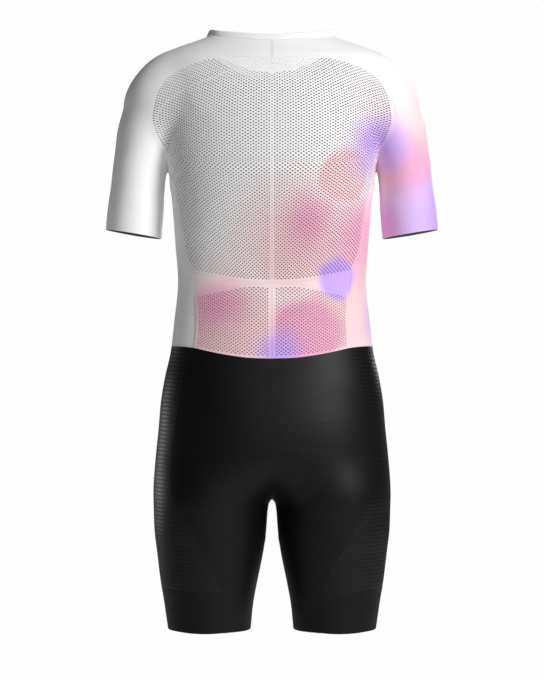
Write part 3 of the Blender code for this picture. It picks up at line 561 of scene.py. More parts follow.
def creased(points):
    """Points of the form, moved out onto the creased cloth."""
    points = np.asarray(points, float)
    rise = np.zeros(points.shape[:-1])
    for middle, along, over, normal, length, width, height in crease_frames():
        offset = points - middle
        near = np.linalg.norm(offset, axis=-1) < 3 * length
        if not near.any():
            continue
        offset = offset[near]
        a, b = offset @ along, offset @ over
        b = b - CREASE_BEND * a * a
        fade = 1 - ramp(np.abs(offset @ normal), CREASE_REACH / 2, CREASE_REACH)
        rise[near] += height * fade * np.exp(-((a / length) ** 2) * 2 - (b / width) ** 2)
    return points + rise[..., None] * outward(points)


# ---------------------------------------------------------------- fine panels
def resample(grid, count):
    """Smooth curves through a grid's points, cut into count times as many pieces both ways."""
    for _ in range(2):
        knots = np.concatenate([[2 * grid[0] - grid[1]], grid, [2 * grid[-1] - grid[-2]]])
        a, b, c, d = knots[:-3, None], knots[1:-2, None], knots[2:-1, None], knots[3:, None]
        t = np.linspace(0, 1, count, endpoint=False)[None, :, None, None]
        line = b + 0.5 * t * (c - a + t * (2 * a - 5 * b + 4 * c - d + t * (3 * (b - c) + d - a)))
        rows = np.concatenate([line.reshape(-1, *grid.shape[1:]), grid[-1:]])
        grid = rows.swapaxes(0, 1)
    return grid


def blend_edges(start, end, first, last):
    """Values over a grid that run smoothly between those on its four edges."""
    u = np.linspace(0, 1, len(start))[None, :, None]
    v = np.linspace(0, 1, len(first))[:, None, None]
    return (
        (1 - v) * start[None] + v * end[None] + (1 - u) * first[:, None] + u * last[:, None]
        - (1 - v) * ((1 - u) * start[0] + u * start[-1])
        - v * ((1 - u) * end[0] + u * end[-1])
    )


def patch(start, end, first, last, surface=form):
    """A fine grid of points between four seams, on the surface. start and end run the same way, as do
    first, which joins their first points, and last, which joins their last points."""
    grid = blend_edges(start[::FINE], end[::FINE], first[::FINE], last[::FINE])
    inside = grid[1:-1, 1:-1]
    for _ in range(SMOOTHING_ROUNDS):
        inside[:] = onto_form(inside, 1, surface)
        middle = (grid[2:, 1:-1] + grid[:-2, 1:-1] + grid[1:-1, 2:] + grid[1:-1, :-2]) / 4
        inside += SMOOTHING * (middle - inside)
    fine = resample(grid, FINE)
    fine += blend_edges(start - fine[0], end - fine[-1], first - fine[:, 0], last - fine[:, -1])
    fine[1:-1, 1:-1] = onto_form(fine[1:-1, 1:-1], 4, surface)
    return fine


def net(grid, across, down):
    """A grid of points with other counts over the same sheet."""
    rows, columns = (np.array(grid.shape[:2]) - 1).tolist()
    r, c = np.linspace(0, rows, down + 1), np.linspace(0, columns, across + 1)
    i, j = np.minimum(r.astype(int), rows - 1), np.minimum(c.astype(int), columns - 1)
    s, t = (r - i)[:, None, None], (c - j)[None, :, None]
    corner = [grid[np.ix_(i + a, j + b)] for a in (0, 1) for b in (0, 1)]
    flat = (1 - s) * ((1 - t) * corner[0] + t * corner[1]) + s * ((1 - t) * corner[2] + t * corner[3])
    return onto_form(flat, 2)


def inset(grid, distance):
    """The grid with its edges moved in along the cloth."""
    grid = grid.copy()
    for _ in range(2):
        for edge, inner in ((0, 1), (-1, -2)):
            way = grid[inner] - grid[edge]
            grid[edge] += distance * way / np.linalg.norm(way, axis=-1, keepdims=True)
        grid = grid.swapaxes(0, 1)
    return grid


def eyelet_faces(points, hole):
    """Vertices and faces over a net of points, with a hole in each cell. hole is its share of the cell."""
    down, across = points.shape[0] - 1, points.shape[1] - 1
    vertices = list(points.reshape(-1, 3))
    faces = []
    for r in range(down + 1):
        for c in range(r % 2, across + 1, 2):
            ring = [
                a * (across + 1) + b if 0 <= a <= down and 0 <= b <= across else None
                for a, b in ((r - 1, c), (r, c + 1), (r + 1, c), (r, c - 1))
            ]
            open_cell = EDGE_CELLS < r < down - EDGE_CELLS and EDGE_CELLS < c < across - EDGE_CELLS
            if open_cell:
                first = len(vertices)
                centre = points[r, c]
                vertices += [centre + hole * (vertices[k] - centre) for k in ring]
            for k in range(4):
                a, b = ring[k], ring[(k + 1) % 4]
                if a is None or b is None:
                    continue
                if open_cell:
                    faces.append((a, b, first + (k + 1) % 4, first + k))
                else:
                    faces.append((a, b, r * (across + 1) + c))
    return vertices, faces


# ---------------------------------------------------------------- objects
def linked(name, mesh, material, sharp=50):
    mesh.materials.append(material)
    mesh.shade_smooth()
    mesh.set_sharp_from_angle(angle=np.radians(sharp))
    obj = bpy.data.objects.new(name, mesh)
    bpy.context.scene.collection.objects.link(obj)
    return obj


def from_faces(name, vertices, faces, material, sharp=50):
    mesh = bpy.data.meshes.new(name)
    mesh.from_pydata([tuple(v) for v in vertices], [], faces)
    mesh.validate()
    return linked(name, mesh, material, sharp)


def pull_in_edges(bm, distance):
    """Moves the edge of a sheet in along the cloth."""
    bm.normal_update()
    moves = {}
    for vertex in bm.verts:
        edges = [edge for edge in vertex.link_edges if edge.is_boundary]
        if len(edges) != 2:
            continue
        a, b = ((edge.other_vert(vertex).co - vertex.co).normalized() for edge in edges)
        along = (a - b).normalized()
        pull = sum((face.calc_center_median() - vertex.co for face in vertex.link_faces), Vector())
        pull -= pull.dot(along) * along
        pull -= pull.dot(vertex.normal) * vertex.normal
        moves[vertex] = pull.normalized() * distance
    for vertex, move in moves.items():
        vertex.co += move


def walled(bm, depth, thickness, directions=outward):
    """Turns a sheet into a wall whose outer face lies at the depth, inwards from the creased form. Gives
    the vertices of its inner face."""
    points = np.array([vertex.co for vertex in bm.verts])
    normals = directions(points)
    outer = creased(points) if directions is outward else points
    normal_at = {vertex.co.to_tuple(): k for k, vertex in enumerate(bm.verts)}
    extruded = bmesh.ops.extrude_face_region(bm, geom=bm.faces[:])["geom"]
    inner = {element for element in extruded if isinstance(element, bmesh.types.BMVert)}
    for vertex in bm.verts:
        k = normal_at[vertex.co.to_tuple()]
        vertex.co = Vector(outer[k] - (depth + (thickness if vertex in inner else 0)) * normals[k])
    bmesh.ops.recalc_face_normals(bm, faces=bm.faces[:])
    return inner


def cloth(name, grids, material, depth=0.0, gap=SEAM_GAP, covered=0, shade_painted_inside=False):
    """A plain panel from the grids that it is made of. The first ones may be covered by the pockets, or the
    inner
    side of its wall given painted shade: those faces have a second material, a flat dark colour of painted
    shade."""
    bm = bmesh.new()
    for number, grid in enumerate(grids):
        rows = [[bm.verts.new(point) for point in row] for row in grid]
        for low, high in zip(rows, rows[1:]):
            for k in range(len(low) - 1):
                face = bm.faces.new((low[k], low[k + 1], high[k + 1], high[k]))
                face.material_index = 1 if number < covered else 0
    bmesh.ops.remove_doubles(bm, verts=bm.verts[:], dist=WELD)
    bmesh.ops.recalc_face_normals(bm, faces=bm.faces[:])
    pull_in_edges(bm, gap / 2)
    inner = walled(bm, depth, CLOTH)
    for face in bm.faces if shade_painted_inside else ():
        face.material_index = int(all(vertex in inner for vertex in face.verts))
    mesh = bpy.data.meshes.new(name)
    bm.to_mesh(mesh)
    bm.free()
    return linked(name, mesh, material)


def eyelet_cloth(name, grid, across, down, hole, material, depth=0.0):
    """A panel of mesh cloth."""
    vertices, faces = eyelet_faces(net(inset(grid, SEAM_GAP / 2), across, down), hole)
    mesh = bpy.data.meshes.new(name)
    mesh.from_pydata([tuple(v) for v in vertices], [], faces)
    bm = bmesh.new()
    bm.from_mesh(mesh)
    bmesh.ops.recalc_face_normals(bm, faces=bm.faces[:])
    walled(bm, depth, MESH_CLOTH)
    bm.to_mesh(mesh)
    bm.free()
    return linked(name, mesh, material)


def declare(obj, node, grids):
    """Puts a panel on the suit in place of its node and states its cut, smaller than the worn cloth. It
    measures the worn grids across, down and by area, but does not state the cut, which would be smaller
    than the worn cloth.
    """
    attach(obj, "suit")
    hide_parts(node)
    across, down, area = [], [], 0.0
    for grid in grids:
        right, up = np.diff(grid, axis=1), np.diff(grid, axis=0)
        across.append(np.linalg.norm(right, axis=-1).sum(1).max())
        down.append(np.linalg.norm(up, axis=-1).sum(0).max())
        area += np.linalg.norm(np.cross(right[:-1], up[:, :-1]), axis=-1).sum()


def sweep(name, frames, profile, material, sharp=50):
    """A closed profile moved along a line. Each frame is a point and the ways of the profile's x and y."""
    ring = len(profile)
    vertices = [p + x * a + y * b for p, a, b in frames for x, y in profile]
    faces = []
    for k in range(len(frames) - 1):
        for i in range(ring):
            j = (i + 1) % ring
            faces.append((k * ring + i, k * ring + j, (k + 1) * ring + j, (k + 1) * ring + i))
    faces.append(tuple(range(ring))[::-1])
    faces.append(tuple((len(frames) - 1) * ring + i for i in range(ring)))
    return from_faces(name, vertices, faces, material, sharp)


def joined(name, objects):
    """One object from several, with the first one's material."""
    bm = bmesh.new()
    for obj in objects:
        bm.from_mesh(obj.data)
    bmesh.ops.recalc_face_normals(bm, faces=bm.faces[:])
    mesh = bpy.data.meshes.new(name)
    bm.to_mesh(mesh)
    bm.free()
    material = objects[0].data.materials[0]
    for obj in objects:
        bpy.data.objects.remove(obj)
    return linked(name, mesh, material)


def line_frames(line):
    """For each point of a line: its place on the creased cloth, and the ways along, beside and outwards."""
    line = np.asarray(line, float)
    along = np.gradient(line, axis=0)
    along /= np.linalg.norm(along, axis=1, keepdims=True)
    out = outward(line)
    beside = np.cross(out, along)
    beside /= np.linalg.norm(beside, axis=1, keepdims=True)
    return creased(line), along, beside, out


def seam_bed(name, line, material):
    """The strip that closes a seam from below."""
    points, _, beside, out = line_frames(line)
    half = SEAM_BED_WIDTH / 2
    top, low = SEAM_BED
    profile = [(-half, -top), (half, -top), (half, -low), (-half, -low)]
    return sweep(name, list(zip(points, beside, out)), profile, material)


def stitch_rows(line, sizes, offsets=(-THREAD_OFFSET, THREAD_OFFSET)):
    """Vertices and faces of the stitches beside a seam, each one pointed at both ends."""
    length = np.linalg.norm(np.diff(line, axis=0), axis=1).sum()
    count = max(int(length / sizes.stitch_pitch), 2)
    points, along, beside, out = line_frames(onto_form(at_equal_steps(line, count), 2))
    vertices, faces = [], []
    long, thick = sizes.stitch_pitch * sizes.stitch_share / 2, sizes.thread / 2
    for offset in offsets:
        for p, t, b, n in zip(points[1:-1], along[1:-1], beside[1:-1], out[1:-1]):
            centre = p + offset * b + THREAD_LIFT * n
            first = len(vertices)
            ring = [centre + thick * n, centre + thick * b, centre - thick * n, centre - thick * b]
            vertices += [centre - long * t, centre + long * t, *ring]
            for k in range(4):
                a, c = first + 2 + k, first + 2 + (k + 1) % 4
                faces += [(first, c, a), (first + 1, a, c)]
    return vertices, faces


# ---------------------------------------------------------------- seams of this suit
WHITE_SEAMS = [
    "raglan_back_upper", "raglan_back_lower", "armhole_back", "armhole_front", "raglan_front_lower",
    "raglan_front_upper", "side_back_upper", "lower_side", "pocket_side", "side_front", "mesh_bottom",
    "neck_back", "neck_side", "neck_front", "underarm",
]
BLACK_SEAMS = [
    "waist_back", "waist_side", "waist_front", "centre_hip", "side_back_hip", "yoke_seam",
    "side_back_thigh", "side_front_hip", "band_seam", "seat_seam", "front_seam", "inseam",
]
SINGLE_SEAMS = {"centre_hip", "seat_seam", "front_seam"}  # they lie in the middle of the suit
UNSTITCHED = {"neck_back", "neck_side", "neck_front", "centre_hip", "underarm"}


@lru_cache(maxsize=1)
def fine_seams():
    return seams(FINE)


@lru_cache(maxsize=1)
def all_panels():
    s = fine_seams()
    return torso_panels(s) | sleeve_panels(s) | shorts_panels(s)


def both_sides(name):
    line = fine_seams()[name]
    return [line] if name in SINGLE_SEAMS else [line, mirrored(line)]


# ---------------------------------------------------------------- the pieces
def whole(left_half):
    """A line from its mirror image on the right to the left, from one that starts at the middle."""
    return chain(mirrored(left_half)[::-1], left_half)


def torso_panels(s):
    side_back = chain(s["pocket_side"][::-1], s["lower_side"][::-1], s["side_back_upper"][::-1])
    mesh_edge = chain(s["side_back_upper"][::-1], s["raglan_back_lower"])
    armhole = chain(s["armhole_back"][::-1], s["armhole_front"])
    pocket_edge = s["pocket_side"][::-1]
    pocket_top = whole(s["pocket_top"])
    under_pockets = patch(whole(s["waist_back"]), pocket_top, mirrored(pocket_edge), pocket_edge)
    strip_edge = s["lower_side"][::-1]
    above_pockets = patch(pocket_top, whole(s["mesh_bottom"]), mirrored(strip_edge), strip_edge)
    middle = under_pockets.shape[1] // 2
    return {
        "back_mesh": [patch(
            whole(s["mesh_bottom"]), whole(s["raglan_back_upper"][::-1]), mirrored(mesh_edge), mesh_edge
        )],
        "back_lower": [under_pockets, above_pockets],
        "pocket": [under_pockets[:, middle:]],
        "side": [patch(s["waist_side"], armhole, side_back, s["side_front"][::-1], trunk_form)],
        "front": [patch(
            s["waist_front"][::-1], chain(s["neck_front"][::-1], s["raglan_front_upper"][::-1]),
            s["front_edge"][::-1], chain(s["side_front"][::-1], s["raglan_front_lower"]),
        )],
    }


def sleeve_panels(s):
    """One piece, from the cuff up over the shoulder to the neck, with half of the back yoke."""
    over = chain(s["over_arm_lower"], s["over_arm_upper"])
    raglan_back = chain(s["armhole_back"], s["raglan_back_lower"], s["raglan_back_upper"])
    raglan_front = chain(s["armhole_front"], s["raglan_front_lower"], s["raglan_front_upper"])
    return {
        "sleeve": [
            patch(
                s["cuff_back"], chain(s["centre_neck"], s["neck_back"]),
                chain(s["underarm"], raglan_back), over,
            ),
            patch(s["cuff_front"], s["neck_side"][::-1], chain(s["underarm"], raglan_front), over),
        ]
    }


def shorts_panels(s):
    side_back = chain(s["side_back_thigh"][::-1], s["side_back_hip"][::-1])
    yoke_edge = s["side_back_hip"][::-1]
    return {
        "shorts_yoke": [
            patch(whole(s["yoke_seam"]), whole(s["waist_back"]), mirrored(yoke_edge), yoke_edge)
        ],
        "thigh_side": [patch(s["band_seam"], s["waist_side"], side_back, s["side_front_hip"][::-1])],
        "leg_back": [
            patch(
                s["hem_back"], s["yoke_seam"], chain(s["inseam"][::-1], s["seat_seam"][::-1]),
                chain(s["band_back"][::-1], s["side_back_thigh"][::-1]),
            ),
            patch(s["hem_side"], s["band_seam"], s["band_back"][::-1], s["band_front"][::-1]),
        ],
        "leg_front": [patch(
            s["hem_front"], chain(s["waist_front"], s["waist_centre"]),
            chain(s["band_front"][::-1], s["side_front_hip"][::-1]),
            chain(s["inseam"][::-1], s["front_seam"][::-1]),
        )],
    }


def away_from_neck(points):
    """Level unit vectors, square to the neck opening."""
    out = points / np.square(NECK_OPENING) * (1, 1, 0)
    return out / np.linalg.norm(out, axis=1, keepdims=True)


# ---------------------------------------------------------------- finishes
# The print: soft round patches on the right of the suit. The columns are: x, y, z, radius and softness of
# the edge.
BLUSH_DISCS = [
    (-0.050, 0.10, -0.330, 0.086, 0.070),
    (-0.130, 0.06, -0.430, 0.100, 0.060),
    (-0.215, 0.00, -0.165, 0.080, 0.075),
    (0.070, 0.10, -0.460, 0.090, 0.060),
    (-0.100, -0.10, -0.330, 0.120, 0.090),
    (-0.110, 0.09, -0.225, 0.042, 0.008),
]
PINK_DISCS = [
    (-0.150, 0.05, -0.325, 0.062, 0.050),
    (-0.055, 0.10, -0.470, 0.058, 0.012),
    (-0.222, 0.04, -0.215, 0.050, 0.034),
    (0.085, 0.10, -0.425, 0.036, 0.026),
    (-0.090, -0.10, -0.400, 0.060, 0.044),
    (-0.060, 0.11, -0.300, 0.034, 0.030),
]
LILAC_DISCS = [
    (-0.240, -0.01, -0.285, 0.066, 0.040),
    (-0.165, 0.07, -0.180, 0.040, 0.034),
    (-0.110, 0.09, -0.385, 0.036, 0.007),
    (-0.162, -0.02, -0.455, 0.050, 0.036),
    (-0.130, -0.10, -0.220, 0.060, 0.050),
    (-0.010, 0.11, -0.500, 0.030, 0.022),
    (-0.262, 0.00, -0.190, 0.022, 0.004),
]


class Tree:
    """Adds nodes to a node tree and joins them up."""

    def __init__(self, tree):
        self.tree = tree

    def add(self, kind, inputs=None, **settings):
        made = self.tree.nodes.new(kind)
        for name, value in settings.items():
            setattr(made, name, value)
        for name, value in (inputs or {}).items():
            if isinstance(value, bpy.types.NodeSocket):
                self.tree.links.new(value, made.inputs[name])
            else:
                made.inputs[name].default_value = value
        return made

    def math(self, operation, a, b=0.0):
        return self.add("ShaderNodeMath", {0: a, 1: b}, operation=operation).outputs[0]

    def mix(self, share, a, b, blend="MIX"):
        made = self.add("ShaderNodeMix", {0: share, 6: a, 7: b}, data_type="RGBA", blend_type=blend)
        return made.outputs[2]

    def scaled(self, value, factor, added):
        made = self.add("ShaderNodeMath", {0: value, 1: factor, 2: added}, operation="MULTIPLY_ADD")
        return made.outputs[0]

    def noise(self, place, scale, detail):
        made = self.add("ShaderNodeTexNoise", {"Vector": place, "Scale": scale, "Detail": detail})
        return made.outputs["Fac"]

    def step(self, value, low, high):
        """0 at low, 1 at high and smooth between."""
        made = self.add(
            "ShaderNodeMapRange", {"Value": value, "From Min": low, "From Max": high},
            interpolation_type="SMOOTHSTEP",
        )
        return made.outputs["Result"]


def group(name, inputs, outputs):
    """A node group with named sockets: its tree helper, its inputs' sockets and its output node."""
    tree = bpy.data.node_groups.new(name, "ShaderNodeTree")
    for socket, kind, default in inputs:
        made = tree.interface.new_socket(socket, in_out="INPUT", socket_type=kind)
        if default is not None:
            made.default_value = default
    for socket, kind in outputs:
        tree.interface.new_socket(socket, in_out="OUTPUT", socket_type=kind)
    return Tree(tree), tree.nodes.new("NodeGroupInput").outputs, tree.nodes.new("NodeGroupOutput")


def print_group():
    """Three masks of the print, one for each of its colours."""
    t, given, out = group(
        "Soft Disc Print", [("Vector", "NodeSocketVector", None)],
        [("Blush", "NodeSocketFloat"), ("Pink", "NodeSocketFloat"), ("Lilac", "NodeSocketFloat")],
    )
    wander = t.add("ShaderNodeTexNoise", {"Vector": given["Vector"], "Scale": 9.0, "Detail": 2.0})
    shifted = t.add(
        "ShaderNodeVectorMath", {0: wander.outputs["Color"], 1: (0.05, 0.05, 0.05), 2: given["Vector"]},
        operation="MULTIPLY_ADD",
    )
    place = t.add(
        "ShaderNodeVectorMath", {0: shifted.outputs[0], 1: (0.025, 0.025, 0.025)}, operation="SUBTRACT"
    ).outputs[0]
    for name, discs in (("Blush", BLUSH_DISCS), ("Pink", PINK_DISCS), ("Lilac", LILAC_DISCS)):
        mask = None
        for x, y, z, radius, softness in discs:
            far = t.add("ShaderNodeVectorMath", {0: place, 1: (x, y, z)}, operation="DISTANCE")
            disc = t.step(far.outputs["Value"], radius + softness, radius - softness)
            mask = disc if mask is None else t.math("MAXIMUM", mask, disc)
        t.tree.links.new(mask, out.inputs[name])
    return t.tree


def knit_group():
    """The loops of the knit as a height, and a faint unevenness of its tone."""
    t, given, out = group(
        "Fine Knit",
        [("Vector", "NodeSocketVector", None), ("Loops", "NodeSocketFloat", 1400.0)],
        [("Height", "NodeSocketFloat"), ("Tone", "NodeSocketFloat")],
    )
    place = given["Vector"]
    loops = t.add("ShaderNodeTexVoronoi", {"Vector": place, "Scale": given["Loops"]}).outputs["Distance"]
    fuzz = t.noise(place, FUZZ_SCALE, 1.0)
    height = t.math("ADD", t.math("MULTIPLY", loops, LOOP_SHARE), t.math("MULTIPLY", fuzz, 1 - LOOP_SHARE))
    t.tree.links.new(height, out.inputs["Height"])
    tone = t.scaled(t.noise(place, TONE_SCALE, 3.0), 1.0, TONE_LIFT)
    t.tree.links.new(tone, out.inputs["Tone"])
    return t.tree


def rib_group():
    """Level ribs round the leg: a height and a mask of their tops."""
    t, given, out = group(
        "Level Ribs",
        [("Vector", "NodeSocketVector", None), ("Pitch", "NodeSocketFloat", 0.0064)],
        [("Height", "NodeSocketFloat"), ("Tops", "NodeSocketFloat")],
    )
    level = t.add("ShaderNodeSeparateXYZ", {"Vector": given["Vector"]}).outputs["Z"]
    turn = t.math("MULTIPLY", t.math("DIVIDE", level, given["Pitch"]), 2 * np.pi)
    wave = t.scaled(t.math("SINE", turn), 0.5, 0.5)
    t.tree.links.new(wave, out.inputs["Height"])
    t.tree.links.new(t.step(wave, 0.25, 0.85), out.inputs["Tops"])
    return t.tree


def effect(name):
    """An effect's node group, made the first time it is asked for."""
    build = {"Soft Disc Print": print_group, "Fine Knit": knit_group, "Level Ribs": rib_group}[name]
    return bpy.data.node_groups.get(name) or build()


def new_material(name, roughness, sheen=0.0, metallic=0.0, specular=0.5):
    """A material, its tree helper and its shader, which has the numbers that are the same all over."""
    material = bpy.data.materials.new(name)
    material.use_nodes = True
    shader = material.node_tree.nodes["Principled BSDF"]
    shader.inputs["Roughness"].default_value = roughness
    shader.inputs["Metallic"].default_value = metallic
    shader.inputs["Sheen Weight"].default_value = sheen
    shader.inputs["Sheen Roughness"].default_value = 0.5
    shader.inputs["Specular IOR Level"].default_value = specular
    return material, Tree(material.node_tree), shader


def knit_material(name, colour, printed=None, roughness=0.7, sheen=0.15, loops=1400.0, depth=0.00006,
                  ribs=0.0, unevenness=0.05, specular=0.4):
    """A knit cloth. printed holds the print's colours, and ribs is how deep its ribs are."""
    found = bpy.data.materials.get(name)
    if found:
        return found
    material, t, shader = new_material(name, roughness, sheen, specular=specular)
    place = t.add("ShaderNodeTexCoord").outputs["Object"]
    knit = t.add("ShaderNodeGroup", {}, node_tree=effect("Fine Knit"))
    t.tree.links.new(place, knit.inputs["Vector"])
    knit.inputs["Loops"].default_value = loops
    base = (*colour, 1)
    if printed:
        masks = t.add("ShaderNodeGroup", {}, node_tree=effect("Soft Disc Print"))
        t.tree.links.new(place, masks.inputs["Vector"])
        for mask, tint in zip(("Blush", "Pink", "Lilac"), printed):
            base = t.mix(masks.outputs[mask], base, (*tint, 1))
    shade = t.scaled(knit.outputs["Tone"], -unevenness, 1 + unevenness / 2)
    grey = t.add("ShaderNodeCombineColor", {0: shade, 1: shade, 2: shade}).outputs[0]
    t.tree.links.new(t.mix(1.0, base, grey, "MULTIPLY"), shader.inputs["Base Color"])
    bump = t.add("ShaderNodeBump", {"Height": knit.outputs["Height"], "Distance": depth, "Strength": 0.6})
    if ribs:
        rib = t.add("ShaderNodeGroup", {}, node_tree=effect("Level Ribs"))
        t.tree.links.new(place, rib.inputs["Vector"])
        rib.inputs["Pitch"].default_value = bpy.context.scene.suit_sizes.rib_pitch
        bump = t.add(
            "ShaderNodeBump", {"Height": rib.outputs["Height"], "Distance": ribs, "Normal": bump.outputs[0]}
        )
        gloss = t.scaled(rib.outputs["Tops"], -RIB_GLOSS, roughness)
        t.tree.links.new(gloss, shader.inputs["Roughness"])
    t.tree.links.new(bump.outputs[0], shader.inputs["Normal"])
    return material


def plain_material(name, colour, roughness, metallic=0.0):
    """Thread, strip, coil or metal, and the flat colours of painted shade inside the suit and under the
    pockets.
    """
    found = bpy.data.materials.get(name)
    if found:
        return found
    material, t, shader = new_material(name, roughness, 0.1 if not metallic else 0.0, metallic)
    place = t.add("ShaderNodeTexCoord").outputs["Object"]
    cloud = t.noise(place, GRAIN_SCALE, 3.0)
    dark = tuple(GRAIN_TONE * c for c in colour)
    t.tree.links.new(t.mix(cloud, (*dark, 1), (*colour, 1)), shader.inputs["Base Color"])
    rough = t.scaled(cloud, 2 * GRAIN_ROUGHNESS, roughness - GRAIN_ROUGHNESS)
    t.tree.links.new(rough, shader.inputs["Roughness"])
    bump = t.add("ShaderNodeBump", {"Height": cloud, "Distance": GRAIN_DEPTH, "Strength": 0.4})
    t.tree.links.new(bump.outputs[0], shader.inputs["Normal"])
    return material


def finish(kind, side="left"):
    """The finish of each kind of piece. The print is on the suit's right and across its back."""
    c = bpy.context.scene.suit_colours
    inks = (tuple(c.blush), tuple(c.pink), tuple(c.lilac))
    printed = inks if side == "right" else None
    if kind == "mesh":
        name = "Mesh knit printed" if printed else "Mesh knit white"
        return knit_material(name, tuple(c.mesh_white), printed, roughness=0.8, loops=2000.0, sheen=0.2)
    if kind == "knit":
        name = "Smooth knit printed" if printed else "Smooth knit white"
        return knit_material(name, tuple(c.white), printed)
    if kind == "satin":
        return knit_material("Black satin knit", tuple(c.black), roughness=0.5, sheen=0.0, loops=1800.0,
                             unevenness=0.25, specular=0.2)
    if kind == "ribbed":
        return knit_material("Black ribbed knit", tuple(c.black), roughness=0.5, sheen=0.0, loops=1800.0,
                             ribs=0.00012, unevenness=0.25, specular=0.25)
    made = {
        "white thread": (c.white, 0.6, 0.0),
        "black thread": (c.black, 0.5, 0.0),
        "grey thread": (c.grey, 0.6, 0.0),
        "zip tape": (c.tape, 0.75, 0.0),
        # Painted shade: a flat dark grey on the inner faces that stands in for the shade inside the hollow
        # suit.
        "inner side": (c.inner, 0.85, 0.0),
        # Painted shade: a flat dark rosy grey on the lower back under the pockets that stands in for the
        # shade in the gap beneath them.
        "pocket bag": (c.pocket_painted_shade, 0.8, 0.0),
        "coil": (c.tape, 0.35, 0.0),
        "metal": (c.metal, 0.3, 0.95),
    }
    colour, roughness, metallic = made[kind]
    return plain_material(kind.capitalize(), tuple(colour), roughness, metallic)


# ---------------------------------------------------------------- settings
def colour(name, description, default):
    return FloatVectorProperty(
        name=name, description=description, default=default, subtype="COLOR", min=0, max=1
    )


def distance(name, description, default):
    return FloatProperty(name=name, description=description, default=default, unit="LENGTH", precision=5)


def share(name, description, default):
    return FloatProperty(name=name, description=description, default=default, min=0, max=0.9)


def steps(name, description, default):
    return IntProperty(name=name, description=description, default=default, min=4)


def power(name, description, default):
    return FloatProperty(name=name, description=description, default=default, unit="POWER", min=0)


class SuitSizes(bpy.types.PropertyGroup):
    """Sizes that a user would change."""

    eyelets_across: steps("Eyelets across", "Half steps of the mesh across the back", 94)
    eyelets_down: steps("Eyelets down", "Half steps of the mesh down the back", 142)
    pocket_across: steps("Pocket across", "Half steps of the mesh across a pocket", 36)
    pocket_down: steps("Pocket down", "Half steps of the mesh down a pocket", 42)
    hole: share("Hole", "Each eyelet's share of its cell's width", 0.54)
    stitch_pitch: distance("Stitch pitch", "From one stitch to the next", 0.0028)
    stitch_share: share("Stitch length", "A stitch's share of the pitch", 0.78)
    thread: distance("Thread", "Thickness of the thread", 0.00034)
    rib_pitch: distance("Rib pitch", "From one rib of the side thigh panels to the next", 0.0064)
    tooth_pitch: distance("Tooth pitch", "From one tooth of the zip's coil to the next", 0.0016)


class SuitColours(bpy.types.PropertyGroup):
    """Colours of the suit."""

    white: colour("White", "The smooth knit", (0.90, 0.89, 0.89))
    # Painted shade: this dark grey stands in for the shade inside the hollow white suit.
    inner: colour("Inner side", "The inner side of the fronts and sides", (0.16, 0.16, 0.165))
    # Painted shade: this darker colour under the pockets stands in for the shade beneath them.
    pocket_painted_shade: colour("Pocket bag", "The lower back where the pockets cover it", (0.30, 0.22, 0.24))
    mesh_white: colour("Mesh white", "The yarn of the mesh", (0.90, 0.885, 0.885))
    blush: colour("Blush", "The print's palest colour", (0.86, 0.58, 0.61))
    pink: colour("Pink", "The print's strongest colour", (0.84, 0.38, 0.55))
    lilac: colour("Lilac", "The print's coolest colour", (0.56, 0.36, 0.86))
    black: colour("Black", "The shorts", (0.0022, 0.0022, 0.0025))
    grey: colour("Grey", "The centre back seam of the yoke", (0.10, 0.10, 0.11))
    tape: colour("Tape", "The zip's tapes and coil", (0.76, 0.76, 0.77))
    metal: colour("Metal", "The slider and its pull", (0.62, 0.62, 0.64))


class SuitStage(bpy.types.PropertyGroup):
    """The studio."""

    floor: distance("Floor", "Level of the floor", -1.50)
    camera_distance: distance("Camera distance", "From the suit's middle to the camera", 3.20)
    camera_level: distance("Camera level", "The height of the camera and of what it looks at", -0.48)
    lens: FloatProperty(name="Lens", description="Focal length in millimetres", default=106.0)
    key: power("Key light", "Behind the suit and to its right", 94.0)
    fill: power("Fill light", "Behind the suit", 21.0)
    front: power("Front light", "In front of the suit", 48.0)
    rim: power("Rim light", "Low on the suit's left", 4.0)
    surround: share("Surround", "How strong the light from all round is", 0.10)


# ---------------------------------------------------------------- operators
class Builder(bpy.types.Operator):
    """A step of the suit."""

    bl_options = {"REGISTER", "UNDO"}


def paired(kind, finish_kind, depth=0.0, shade_painted_inside=False):
    """Both panels of a kind. The right one of each white pair is printed."""
    for side, flip in (("left", 1), ("right", -1)):
        grids = [grid * (flip, 1, 1) for grid in all_panels()[kind]]
        node = f"{kind}_{side}"
        obj = cloth(f"cloth_{node}", grids, finish(finish_kind, side), depth, shade_painted_inside=shade_painted_inside)
        # Painted shade on the inner faces.
        if shade_painted_inside:
            obj.data.materials.append(finish("inner side"))
        declare(obj, node, grids)


class SUIT_OT_torso(Builder):
    """Adds the plain panels of the body: the lower back, the sides and the fronts"""

    bl_idname = "suit.torso"
    bl_label = "Torso panels"

    def execute(self, context):
        grids = all_panels()["back_lower"]
        # The lower back under the pockets gets painted shade, so that the pockets' eyelets read dark.
        panel = cloth("cloth_back_lower", grids, finish("knit", "right"), covered=1)
        panel.data.materials.append(finish("pocket bag"))
        declare(panel, "back_lower", grids)
        paired("side", "knit", shade_painted_inside=True)
        paired("front", "knit", shade_painted_inside=True)
        return {"FINISHED"}


class SUIT_OT_sleeves(Builder):
    """Adds the two sleeves, each with its half of the back yoke"""

    bl_idname = "suit.sleeves"
    bl_label = "Sleeves"

    def execute(self, context):
        paired("sleeve", "knit", shade_painted_inside=True)
        return {"FINISHED"}


